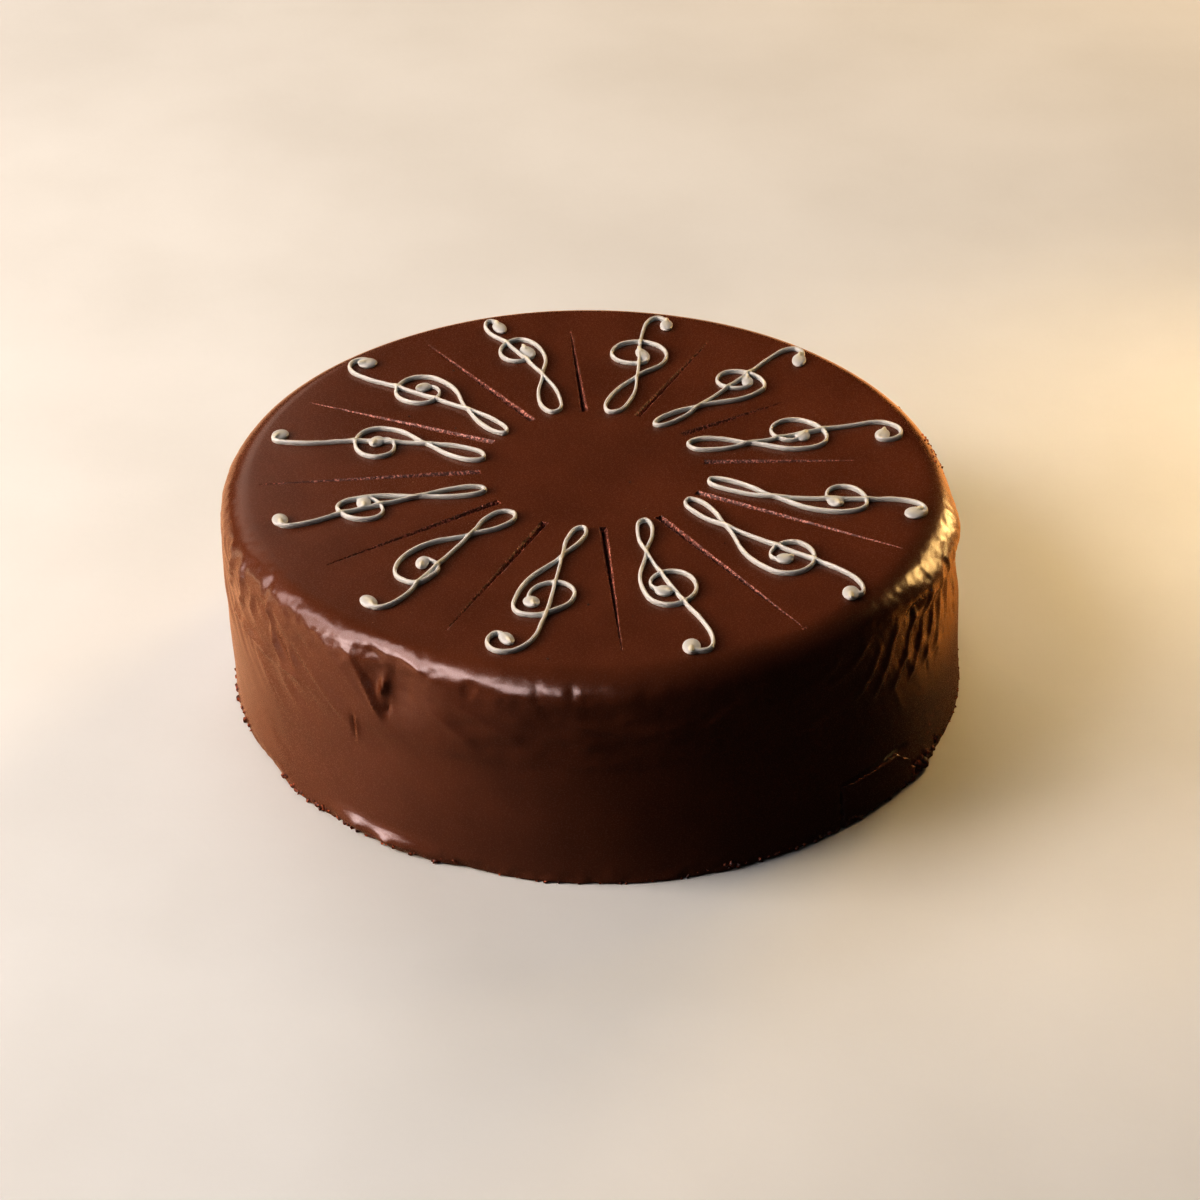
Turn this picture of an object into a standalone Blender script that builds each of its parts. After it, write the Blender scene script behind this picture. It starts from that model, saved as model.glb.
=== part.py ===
"""Round torte under a poured chocolate glaze, with twelve slice marks and twelve piped treble clefs.

Metres, +Z up. The origin is the middle of the flat base, and the cake is seen from the -Y side.
Places on the top are given as (across, out): millimetres across a slice, counter-clockwise, and
millimetres out from the middle of the decoration.
"""

import math
import random
from typing import NamedTuple

import bmesh
import bpy
import numpy as np
from mathutils import Matrix, Vector

MM = 0.001

# The cake: a 26 cm torte whose top sits a little to the left of its foot.
FOOT_RADIUS = 0.130
TOP_RADIUS = 0.1255
HEIGHT = 0.078
TOP_AXIS = (-0.0044, -0.0003)
RIM_ROUNDING = 0.010
FOOT_ROUNDING = 0.0012
SIDES = 120
WALL_HEIGHTS = (0.004, 0.008, 0.014, 0.021, 0.029, 0.038, 0.046, 0.052, 0.060)
RIM_STEPS = 5
FLAT_RING_INSET = 0.004

# The slice marks: V-shaped cuts, wide and deep at the middle, running out to nothing.
SLICES = 12
DECOR_CENTRE = (-0.0018, 0.0018)
CUT_INNER_RADIUS = 0.0389
CUT_HALF_WIDTH = 0.0013
CUT_DEPTH = 0.0032
CUT_END_HALF_WIDTH = 0.0002
CUT_END_DEPTH = 0.0002
CUT_CLEARANCE = 0.001

# The piped clefs: half-round beads with a drop at each end. A section's corners are given as shares
# of (half width, height), and the rings of a drop by their angle up from its base.
FIRST_CLEF_AZIMUTH = 109.8
CLEF_GAP = 0.0003
BEAD_HALF_WIDTH = 0.00115
BEAD_HEIGHT = 0.0017
BEAD_SECTION = ((-1.0, 0.0), (-0.82, 0.62), (0.0, 1.0), (0.82, 0.62), (1.0, 0.0))
BEAD_LAP = 0.0007
BEAD_END_SCALE = 0.7
BEND_PER_STEP = 28.0
QUARTER_ROUND = 0.5523
EASY_HANDLE = 0.36
LEAST_HANDLE = 0.2
LOOP_WIDEST = 0.28
BOWL_THROUGH_FOOT = 5.5
DROP_HEIGHT = 0.0024
DROP_SIDES = 8
DROP_RINGS = (0.0, 30.0, 60.0)

# The ragged foot: crumbs and one lifted flake of glaze. Crumbs vary by shares of their usual size.
CRUMB_SEED = 26
CRUMB_SINK = 0.45
CRUMB_UNEVENNESS = (0.75, 1.15)
CRUMB_SIZES = (0.7, 1.2)
CRUMB_SHIFTS = (0.2, 0.8)
CRUMB_LEAST_RISE = 1.2
FLAKE_AZIMUTHS = (309.0, 325.0)
FLAKE_HEIGHTS = (0.0015, 0.0155)
FLAKE_STEPS = 5
FLAKE_THICKNESS = 0.0012
FLAKE_LIFTS = (0.00054, 0.00144)
FLAKE_SLOPE_START = 0.8
FLAKE_SLOPE_DROP = 0.006

# The finishes.
GLAZE_COLOUR = (0.060, 0.020, 0.0088)
GLAZE_ROUGHNESS = 0.30
GLAZE_CREASE_ANGLE = 35.0
ICING_COLOUR = (0.82, 0.78, 0.66)
ICING_ROUGHNESS = 0.45
ICING_CREASE_ANGLE = 50.0


class Swelling(NamedTuple):
    """A soft bump of the side, or a hollow where its depth is negative."""

    azimuth: float
    height: float
    depth: float
    half_angle: float
    half_height: float


SWELLINGS = (
    # The lump at the right of the rim and the hollow wall under it.
    Swelling(349, 0.067, 0.0034, 9, 0.007),
    Swelling(5, 0.056, -0.0020, 28, 0.012),
    Swelling(330, 0.058, -0.0010, 12, 0.010),
    # The hollow under the front left of the rim, with its fold beside it.
    Swelling(238, 0.062, -0.0022, 3.0, 0.009),
    Swelling(234.5, 0.058, 0.0009, 2.6, 0.010),
    # The back of the rim: in at the left, out at the right.
    Swelling(125, 0.072, -0.0014, 16, 0.010),
    Swelling(62, 0.072, 0.0010, 14, 0.010),
    # Glaze that pooled at the foot.
    Swelling(236, 0.004, 0.0014, 6, 0.005),
    Swelling(245, 0.003, 0.0012, 3, 0.003),
    Swelling(222, 0.002, 0.0008, 5, 0.003),
    Swelling(60, 0.004, 0.0012, 8, 0.005),
    Swelling(130, 0.003, 0.0010, 6, 0.004),
)

# The waves that the palette knife left: (waves round the cake, slant, half height of a wave, start).
KNIFE_WAVES = ((34, 55, 0.00026, 0.4), (23, -38, 0.00030, 2.1), (9, 12, 0.00035, 4.0))
WAVE_FADE_HEIGHT = 0.025
STEP_HEIGHT = 0.047
STEP_DEPTH = 0.0006
STEP_SOFTNESS = 0.0035


class Cut(NamedTuple):
    """A slice mark, by the azimuths of its two ends and how far out it runs."""

    inner_azimuth: float
    outer_azimuth: float
    reach: float


CUTS = (
    Cut(94.7, 95.0, 0.0998),
    Cut(123.5, 124.8, 0.1079),
    Cut(153.8, 156.1, 0.1117),
    Cut(184.4, 185.7, 0.1150),
    Cut(215.2, 215.4, 0.1072),
    Cut(245.9, 245.1, 0.1106),
    Cut(275.0, 274.8, 0.1113),
    Cut(304.7, 304.3, 0.1180),
    Cut(335.1, 333.2, 0.1150),
    Cut(5.5, 3.0, 0.0912),
    Cut(35.7, 33.6, 0.0814),
    Cut(66.1, 64.7, 0.1013),
)


class Drop(NamedTuple):
    """The drop at an end of a bead: its middle, half length, half width and lean from the slice."""

    across: float
    out: float
    half_length: float
    half_width: float
    lean: float


class Clef(NamedTuple):
    """A treble clef by the points where its line turns, in millimetres (across, out)."""

    dot: Drop
    ring_left: tuple
    ring_top: tuple
    ring_right: tuple
    bowl_bottom: tuple
    bowl_left: tuple
    waist: tuple
    tip: tuple
    loop_half_width: float
    foot: tuple
    tail: tuple
    hook: tuple
    turn: tuple
    end: Drop
    crest: tuple = None


CLEFS = (
    Clef(Drop(-4.9, 85.5, 4.4, 2.6, 8), (-6.3, 83.0), (-0.1, 79.6), (5.2, 85.7), (-4.2, 95.4),
         (-10.1, 84.5), (-4.4, 67.0), (0.7, 39.8), 3.8, (0.5, 94.8), (4.1, 107.0), (1.2, 112.8),
         (-1.2, 109.0), Drop(-0.9, 106.8, 4.4, 2.6, 0)),
    Clef(Drop(-2.4, 82.7, 3.2, 2.6, 80), (-5.1, 79.2), (2.7, 73.5), (9.2, 81.9), (-1.5, 91.0),
         (-10.1, 81.9), (-0.8, 59.5), (2.7, 38.2), 2.8, (3.7, 90.4), (6.5, 107.3), (0.6, 115.3),
         (-3.8, 111.8), Drop(-2.4, 110.8, 3.7, 3.3, 60)),
    Clef(Drop(-2.9, 77.7, 3.5, 2.7, 80), (-5.0, 74.2), (1.7, 70.5), (7.7, 76.7), (-3.3, 85.1),
         (-11.9, 77.0), (-4.2, 60.0), (1.6, 38.2), 3.7, (-1.8, 84.8), (3.5, 110.7), (0.5, 114.3),
         (-2.5, 112.7), Drop(-1.4, 112.3, 3.4, 3.0, 70)),
    Clef(Drop(-3.2, 81.3, 3.4, 2.6, 75), (-5.5, 79.2), (1.6, 76.2), (7.4, 81.6), (-2.6, 90.7),
         (-6.6, 84.5), (-0.9, 62.5), (2.2, 39.8), 2.8, (0.7, 90.3), (2.8, 105.7), (0.0, 111.5),
         (-3.0, 110.4), Drop(-2.4, 110.7, 3.9, 2.8, 85)),
    Clef(Drop(-2.9, 83.0, 3.7, 2.3, 35), (-4.6, 81.4), (-0.7, 80.1), (4.8, 85.7), (-1.5, 94.7),
         (-10.2, 81.2), (-2.3, 60.0), (-0.8, 40.7), 4.0, (4.3, 92.5), (6.5, 105.0), (2.6, 112.3),
         (-0.6, 111.2), Drop(-0.3, 110.9, 3.9, 2.7, 70)),
    Clef(Drop(-4.3, 86.7, 3.1, 2.8, 30), (-5.9, 83.0), (2.5, 74.2), (8.7, 80.8), (-5.0, 94.3),
         (-9.8, 88.0), (0.5, 58.0), (4.0, 40.0), 2.5, (1.8, 92.4), (1.2, 101.0), (-8.3, 116.0),
         (-13.6, 110.2), Drop(-7.9, 108.4, 3.7, 2.4, 35), (-10.9, 106.2)),
    Clef(Drop(-4.8, 81.5, 3.1, 2.9, 40), (-7.5, 77.3), (-0.1, 71.2), (6.7, 79.0), (-4.2, 90.1),
         (-10.9, 82.3), (-2.0, 58.0), (4.4, 39.2), 2.5, (-0.9, 89.4), (0.8, 106.5), (-4.2, 117.4),
         (-8.8, 113.8), Drop(-7.8, 113.8, 4.2, 3.0, -25)),
    Clef(Drop(-4.4, 86.4, 3.1, 2.8, 50), (-6.5, 83.4), (-0.2, 79.7), (6.6, 85.7), (-4.0, 95.7),
         (-12.8, 87.3), (-1.1, 59.5), (3.8, 39.0), 3.0, (1.4, 94.8), (2.0, 104.5), (-4.6, 117.6),
         (-8.4, 114.9), Drop(-6.8, 115.0, 4.0, 2.9, -55)),
    Clef(Drop(-8.3, 85.3, 3.3, 3.0, -60), (-7.9, 83.6), (-3.7, 81.7), (1.7, 87.3), (-8.3, 95.9),
         (-15.2, 84.3), (-9.2, 64.8), (-2.3, 41.0), 2.8, (-5.4, 95.6), (-3.6, 107.0), (-8.6, 116.0),
         (-12.2, 112.3), Drop(-11.0, 112.3, 3.7, 3.4, 50)),
    Clef(Drop(-6.0, 76.5, 3.1, 2.6, 45), (-7.3, 72.6), (-0.5, 67.1), (6.2, 74.9), (-6.3, 84.9),
         (-14.3, 77.0), (-4.3, 57.3), (2.2, 36.3), 3.9, (-4.2, 84.8), (-5.2, 101.0), (-13.0, 110.7),
         (-18.6, 105.5), Drop(-14.5, 103.3, 3.8, 2.7, 52), (-16.2, 101.0)),
    Clef(Drop(-4.5, 81.8, 3.8, 2.2, 38), (-6.5, 79.2), (0.6, 73.4), (6.0, 79.6), (-3.2, 87.0),
         (-12.4, 79.8), (-2.3, 56.5), (1.3, 35.8), 2.5, (-1.1, 87.2), (-0.1, 105.0), (-4.0, 113.0),
         (-8.4, 109.5), Drop(-9.2, 106.8, 4.7, 2.7, 32)),
    Clef(Drop(-3.9, 81.8, 5.0, 2.4, 30), (-6.2, 77.6), (0.0, 74.6), (7.7, 81.9), (-2.5, 91.3),
         (-12.9, 80.9), (-4.6, 65.3), (0.6, 37.8), 3.8, (-1.5, 91.0), (-1.0, 103.5), (-5.0, 111.0),
         (-8.6, 107.5), Drop(-8.9, 106.0, 4.1, 2.5, 5)),
)


class CrumbRun(NamedTuple):
    """A stretch of the side with crumbs: its azimuths, their number and radius, and their heights."""

    start: float
    stop: float
    count: int
    radius: float
    low: float
    high: float


CRUMB_RUNS = (
    # Along the foot.
    CrumbRun(217, 229, 8, 0.0012, 0.001, 0.003),
    CrumbRun(242, 248, 3, 0.0015, 0.001, 0.003),
    CrumbRun(289, 290, 2, 0.0010, 0.001, 0.003),
    CrumbRun(306, 317, 5, 0.0011, 0.001, 0.003),
    CrumbRun(322, 333, 11, 0.0020, 0.002, 0.006),
    CrumbRun(345, 356, 3, 0.0015, 0.001, 0.009),
    CrumbRun(40, 75, 6, 0.0015, 0.001, 0.004),
    CrumbRun(110, 150, 6, 0.0014, 0.001, 0.004),
    # Chips on the back right of the rim.
    CrumbRun(4, 14, 5, 0.0009, 0.071, 0.074),
    CrumbRun(23, 35, 3, 0.0013, 0.069, 0.072),
)


def clear_scene():
    """Remove every object of the startup scene."""
    for obj in list(bpy.data.objects):
        bpy.data.objects.remove(obj)


def new_material(name, colour, roughness):
    """A plain Principled material."""
    material = bpy.data.materials.new(name)
    material.use_nodes = True
    shader = material.node_tree.nodes["Principled BSDF"]
    shader.inputs["Base Color"].default_value = (*colour, 1.0)
    shader.inputs["Roughness"].default_value = roughness
    return material


def add_object(name, mesh, material=None):
    """Link a mesh to the scene as a named object."""
    if material:
        mesh.materials.clear()
        mesh.materials.append(material)
    obj = bpy.data.objects.new(name, mesh)
    bpy.context.scene.collection.objects.link(obj)
    return obj


def mesh_from(bm, name):
    """Turn a bmesh into a mesh with its faces pointing out."""
    bmesh.ops.recalc_face_normals(bm, faces=bm.faces)
    mesh = bpy.data.meshes.new(name)
    bm.to_mesh(mesh)
    bm.free()
    return mesh


def combine(obj, pieces, operation):
    """Apply one Boolean of obj with a collection of pieces, and remove the pieces."""
    group = bpy.data.collections.new(obj.name + "_pieces")
    for piece in pieces:
        piece.hide_render = True
        piece.display_type = "WIRE"
        group.objects.link(piece)
    modifier = obj.modifiers.new("Join", "BOOLEAN")
    modifier.operation = operation
    modifier.operand_type = "COLLECTION"
    modifier.collection = group
    modifier.solver = "MANIFOLD"
    graph = bpy.context.evaluated_depsgraph_get()
    joined = bpy.data.meshes.new_from_object(obj.evaluated_get(graph))
    obj.modifiers.remove(modifier)
    obj.data = joined
    for piece in pieces:
        bpy.data.objects.remove(piece)
    bpy.data.collections.remove(group)


def smooth_shade(obj, crease_angle):
    """Shade an object smooth, with creases sharper than an angle in degrees left sharp."""
    obj.data.shade_smooth()
    obj.data.set_sharp_from_angle(angle=math.radians(crease_angle))


# ---------------------------------------------------------------- the glazed cake


def angle_between(azimuth, other):
    """Signed difference of two azimuths in degrees, from -180 to 180."""
    return (azimuth - other + 180.0) % 360.0 - 180.0


def relief(azimuth, height):
    """How far the side stands out from a plain cone at an azimuth in degrees and a height."""
    depth = STEP_DEPTH * math.tanh((height - STEP_HEIGHT) / STEP_SOFTNESS) * 0.5
    for swelling in SWELLINGS:
        turn = angle_between(azimuth, swelling.azimuth) / swelling.half_angle
        rise = (height - swelling.height) / swelling.half_height
        depth += swelling.depth * math.exp(-turn * turn - rise * rise)
    fade = min(1.0, height / WAVE_FADE_HEIGHT)
    for waves, slant, half, start in KNIFE_WAVES:
        depth += fade * half * math.sin(math.radians(azimuth) * waves + height * slant + start)
    return depth


def rim_round(height):
    """The rim's inset from the plain wall at a height, and the share of the relief that is left there."""
    past = max(0.0, height - (HEIGHT - RIM_ROUNDING))
    level = math.sqrt(max(0.0, 1.0 - (past / RIM_ROUNDING) ** 2))
    return RIM_ROUNDING * (1.0 - level), level


def side_point(azimuth, inset, height):
    """A point of the outside, set in from the surface by a distance."""
    rise = height / HEIGHT
    rim_inset, weight = rim_round(height)
    radius = FOOT_RADIUS + (TOP_RADIUS - FOOT_RADIUS) * rise - inset - rim_inset
    radius += relief(azimuth, height) * weight
    turn = math.radians(azimuth)
    return Vector((
        TOP_AXIS[0] * rise + radius * math.cos(turn),
        TOP_AXIS[1] * rise + radius * math.sin(turn),
        height,
    ))


def cake_profile():
    """Rows of (inset from the surface, height) from the base to the flat of the top."""
    rows = [(FOOT_ROUNDING, 0.0), (0.0, FOOT_ROUNDING)]
    rows += [(0.0, height) for height in WALL_HEIGHTS]
    for step in range(RIM_STEPS + 1):
        turn = math.radians(90.0 * step / RIM_STEPS)
        rows.append((0.0, HEIGHT - RIM_ROUNDING * (1.0 - math.sin(turn))))
    rows.append((FLAT_RING_INSET, HEIGHT))
    return rows


def cake_body():
    """The closed body of the cake, before its marks are cut."""
    bm = bmesh.new()
    rings = []
    for inset, height in cake_profile():
        ring = [bm.verts.new(side_point(360.0 * side / SIDES, inset, height)) for side in range(SIDES)]
        rings.append(ring)
    for lower, upper in zip(rings, rings[1:]):
        for side in range(SIDES):
            after = (side + 1) % SIDES
            bm.faces.new((lower[side], lower[after], upper[after], upper[side]))
    bm.faces.new(reversed(rings[0]))
    bm.faces.new(rings[-1])
    return add_object("glazed_torte", mesh_from(bm, "glazed_torte"))


def cut_blade(index, cut):
    """The wedge that cuts one slice mark."""
    bm = bmesh.new()
    sections = []
    stations = (
        (cut.inner_azimuth, CUT_INNER_RADIUS, CUT_HALF_WIDTH, CUT_DEPTH),
        (cut.outer_azimuth, cut.reach, CUT_END_HALF_WIDTH, CUT_END_DEPTH),
    )
    for azimuth, radius, half_width, depth in stations:
        turn = math.radians(azimuth)
        middle = Vector((*DECOR_CENTRE, HEIGHT)) + Vector((math.cos(turn), math.sin(turn), 0)) * radius
        side = Vector((-math.sin(turn), math.cos(turn), 0)) * half_width * (1 + CUT_CLEARANCE / depth)
        lift = Vector((0, 0, CUT_CLEARANCE))
        corners = (middle - side + lift, middle + side + lift, middle - Vector((0, 0, depth)))
        sections.append([bm.verts.new(corner) for corner in corners])
    inner, outer = sections
    bm.faces.new(inner)
    bm.faces.new(reversed(outer))
    for corner in range(3):
        after = (corner + 1) % 3
        bm.faces.new((inner[corner], outer[corner], outer[after], inner[after]))
    name = f"blade_{index + 1:02d}"
    return add_object(name, mesh_from(bm, name))


def crumb(index, azimuth, height, radius, rng):
    """One uneven crumb, sunk into the foot of the side."""
    bm = bmesh.new()
    bmesh.ops.create_icosphere(bm, subdivisions=1, radius=radius)
    for vert in bm.verts:
        vert.co *= rng.uniform(*CRUMB_UNEVENNESS)
    place = side_point(azimuth, CRUMB_SINK * radius, height)
    bmesh.ops.rotate(bm, verts=bm.verts, matrix=Matrix.Rotation(rng.uniform(0, math.tau), 3, "Z"))
    bmesh.ops.translate(bm, verts=bm.verts, vec=place)
    name = f"crumb_{index:02d}"
    return add_object(name, mesh_from(bm, name))


def crumbs():
    """The crumbs of all the runs."""
    rng = random.Random(CRUMB_SEED)
    pieces = []
    for run in CRUMB_RUNS:
        for place in range(run.count):
            share = (place + rng.uniform(*CRUMB_SHIFTS)) / run.count
            azimuth = run.start + (run.stop - run.start) * share
            radius = run.radius * rng.uniform(*CRUMB_SIZES)
            height = max(radius * CRUMB_LEAST_RISE, rng.uniform(run.low, run.high))
            pieces.append(crumb(len(pieces), azimuth, height, radius, rng))
    return pieces


def flake():
    """The flake of glaze that has cracked loose at the foot, lifted along its right edge."""
    bm = bmesh.new()
    columns = []
    for step in range(FLAKE_STEPS + 1):
        share = step / FLAKE_STEPS
        azimuth = FLAKE_AZIMUTHS[0] + (FLAKE_AZIMUTHS[1] - FLAKE_AZIMUTHS[0]) * share
        low, high = FLAKE_HEIGHTS
        high -= FLAKE_SLOPE_DROP * max(0.0, share - FLAKE_SLOPE_START) / (1.0 - FLAKE_SLOPE_START)
        outer = -FLAKE_LIFTS[0] - (FLAKE_LIFTS[1] - FLAKE_LIFTS[0]) * share
        inner = FLAKE_THICKNESS
        corners = ((outer, low), (outer, high), (inner, high), (inner, low))
        columns.append([bm.verts.new(side_point(azimuth, inset, height)) for inset, height in corners])
    for before, after in zip(columns, columns[1:]):
        for corner in range(4):
            turn = (corner + 1) % 4
            bm.faces.new((before[corner], before[turn], after[turn], after[corner]))
    bm.faces.new(reversed(columns[0]))
    bm.faces.new(columns[-1])
    return add_object("flake", mesh_from(bm, "flake"))


def build_cake(material):
    """The glazed cake with its crumbs and flake fused on and its slice marks cut."""
    cake = cake_body()
    combine(cake, crumbs() + [flake()], "UNION")
    combine(cake, [cut_blade(index, cut) for index, cut in enumerate(CUTS)], "DIFFERENCE")
    cake.data.materials.clear()
    cake.data.materials.append(material)
    smooth_shade(cake, GLAZE_CREASE_ANGLE)
    return cake


# ---------------------------------------------------------------- the piped clefs


def unit(vector):
    """The vector at length one."""
    return vector / np.linalg.norm(vector)


def clef_strokes(clef):
    """The clef's line as three strokes of (point, direction of travel), with None for an easy turn."""
    up, down = np.array((0.0, -1.0)), np.array((0.0, 1.0))
    left, right = np.array((-1.0, 0.0)), np.array((1.0, 0.0))
    tip, waist = np.array(clef.tip), np.array(clef.waist)
    axis = unit(waist - tip)
    across = np.array((axis[1], -axis[0])) * clef.loop_half_width
    widest = tip + LOOP_WIDEST * (waist - tip)
    ring = [
        ((clef.dot.across, clef.dot.out), None),
        (clef.ring_left, up),
        (clef.ring_top, right),
        (clef.ring_right, down),
    ]
    bowl = [(clef.bowl_bottom, left), (clef.bowl_left, up), (waist, None)]
    if clef.foot[0] - clef.bowl_bottom[0] > BOWL_THROUGH_FOOT:
        ring.append((clef.foot, None))
    bowl += [(widest + across, -axis), (tip, left)]
    stem = [(tip, left), (widest - across, axis), (waist, None), (clef.foot, None)]
    stem += [(clef.tail, down), (clef.hook, left), (clef.turn, up)]
    if clef.crest:
        stem.append((clef.crest, right))
    stem.append(((clef.end.across, clef.end.out), None))
    return [ring + bowl[:1], bowl, stem]


def stroke_points(marks):
    """Points along a stroke: quarter rounds between its extremes, joined by easy curves."""
    places = [np.array(place, dtype=float) for place, _ in marks]
    headings = []
    for index, (_, heading) in enumerate(marks):
        if heading is None:
            ahead = places[min(index + 1, len(places) - 1)]
            heading = unit(ahead - places[max(index - 1, 0)])
        headings.append(heading)
    points = []
    for index in range(len(places) - 1):
        start, stop = places[index], places[index + 1]
        span = stop - start
        reach = np.linalg.norm(span)
        handles = []
        for end in (index, index + 1):
            eased = EASY_HANDLE * reach
            rounded = max(QUARTER_ROUND * abs(span @ headings[end]), LEAST_HANDLE * reach)
            handles.append(eased if marks[end][1] is None else rounded)
        near = start + headings[index] * handles[0]
        far = stop - headings[index + 1] * handles[1]
        bend = sum(
            math.degrees(math.acos(min(1.0, max(-1.0, unit(one) @ unit(two)))))
            for one, two in ((near - start, far - near), (far - near, stop - far))
        )
        steps = max(1, math.ceil(bend / BEND_PER_STEP))
        for step in range(steps):
            t = step / steps
            rest = 1.0 - t
            points.append(rest**3 * start + 3 * rest**2 * t * near + 3 * rest * t**2 * far + t**3 * stop)
    points.append(places[-1])
    return points


def top_height(x, y):
    """Height of the cake's top, which falls away over the rounded rim."""
    past = math.hypot(x - TOP_AXIS[0], y - TOP_AXIS[1]) - (TOP_RADIUS - RIM_ROUNDING)
    if past <= 0:
        return HEIGHT
    return HEIGHT - RIM_ROUNDING + math.sqrt(RIM_ROUNDING**2 - past**2)


class Slice(NamedTuple):
    """The frame of one slice: its outward and its crosswise direction."""

    outward: Vector
    crosswise: Vector

    def place(self, point):
        """World (x, y) of a point given in millimetres (across, out)."""
        offset = self.crosswise * point[0] * MM + self.outward * point[1] * MM
        return Vector((*DECOR_CENTRE, 0.0)) + offset

    def raised(self, flat, height):
        """A point at a height over the cake's top."""
        return Vector((flat.x, flat.y, top_height(flat.x, flat.y) + CLEF_GAP + height))


def slice_frame(index):
    """The frame of the slice that holds a clef."""
    turn = math.radians(FIRST_CLEF_AZIMUTH + 360.0 / SLICES * index)
    return Slice(Vector((math.cos(turn), math.sin(turn), 0)), Vector((-math.sin(turn), math.cos(turn), 0)))


def bead(name, frame, points):
    """A half-round bead along points, lapped and thinned a little at each end."""
    flats = [frame.place(point) for point in points]
    flats.insert(0, flats[0] - (flats[1] - flats[0]).normalized() * BEAD_LAP)
    flats.append(flats[-1] + (flats[-1] - flats[-2]).normalized() * BEAD_LAP)
    bm = bmesh.new()
    sections = []
    for index, flat in enumerate(flats):
        before, after = flats[max(index - 1, 0)], flats[min(index + 1, len(flats) - 1)]
        along = (after - before).normalized()
        side = Vector((-along.y, along.x, 0))
        size = BEAD_END_SCALE if index in (0, len(flats) - 1) else 1.0
        section = []
        for across, up in BEAD_SECTION:
            spot = flat + side * across * BEAD_HALF_WIDTH * size
            section.append(bm.verts.new(frame.raised(spot, up * BEAD_HEIGHT * size)))
        sections.append(section)
    for before, after in zip(sections, sections[1:]):
        for corner in range(len(BEAD_SECTION)):
            turn = (corner + 1) % len(BEAD_SECTION)
            bm.faces.new((before[corner], before[turn], after[turn], after[corner]))
    bm.faces.new(reversed(sections[0]))
    bm.faces.new(sections[-1])
    return add_object(name, mesh_from(bm, name))


def drop_solid(name, frame, drop):
    """The half egg of icing at an end of a bead."""
    middle = frame.place((drop.across, drop.out))
    lean = math.radians(drop.lean)
    length = (frame.outward * math.cos(lean) + frame.crosswise * math.sin(lean)) * drop.half_length * MM
    width = (frame.crosswise * math.cos(lean) - frame.outward * math.sin(lean)) * drop.half_width * MM
    bm = bmesh.new()
    rings = []
    for rise in DROP_RINGS:
        shrink, up = math.cos(math.radians(rise)), math.sin(math.radians(rise))
        ring = []
        for side in range(DROP_SIDES):
            turn = math.tau * side / DROP_SIDES
            spot = middle + (length * math.cos(turn) + width * math.sin(turn)) * shrink
            ring.append(bm.verts.new(frame.raised(spot, DROP_HEIGHT * up)))
        rings.append(ring)
    crown = bm.verts.new(frame.raised(middle, DROP_HEIGHT))
    for side in range(DROP_SIDES):
        after = (side + 1) % DROP_SIDES
        for lower, upper in zip(rings, rings[1:]):
            bm.faces.new((lower[side], lower[after], upper[after], upper[side]))
        bm.faces.new((rings[-1][side], rings[-1][after], crown))
    bm.faces.new(reversed(rings[0]))
    return add_object(name, mesh_from(bm, name))


def build_clef(index, clef, material):
    """One treble clef as one piece of icing."""
    name = f"treble_clef_{index + 1:02d}"
    frame = slice_frame(index)
    strokes = clef_strokes(clef)
    body = bead(name, frame, stroke_points(strokes[0]))
    pieces = [bead(f"stroke_{part}", frame, stroke_points(marks)) for part, marks in enumerate(strokes[1:])]
    pieces += [drop_solid("dot", frame, clef.dot), drop_solid("end", frame, clef.end)]
    combine(body, pieces, "UNION")
    body.data.materials.clear()
    body.data.materials.append(material)
    smooth_shade(body, ICING_CREASE_ANGLE)
    return body


def main():
    """Build the torte and its decoration."""
    clear_scene()
    glaze = new_material("chocolate_glaze", GLAZE_COLOUR, GLAZE_ROUGHNESS)
    icing = new_material("white_icing", ICING_COLOUR, ICING_ROUGHNESS)
    build_cake(glaze)
    for index, clef in enumerate(CLEFS):
        build_clef(index, clef, icing)


main()
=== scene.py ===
"""The looks of a round torte under a poured chocolate glaze, with slice marks and piped treble clefs.

Metres, +Z up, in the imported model's frame: the origin is the middle of the flat base, and the cake is
seen from the -Y side. Azimuths are in degrees, counter-clockwise from +X. A place on a slice is given
as (across, out): millimetres crosswise, counter-clockwise, and millimetres out from the middle of the
decoration. A place on the side is given as (azimuth, millimetres up).
"""

import logging
import math
import random
from dataclasses import dataclass
from enum import Enum
from typing import NamedTuple, Optional, Sequence

import bmesh
import bpy
import numpy as np
from mathutils import Matrix, Vector, noise


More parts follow.
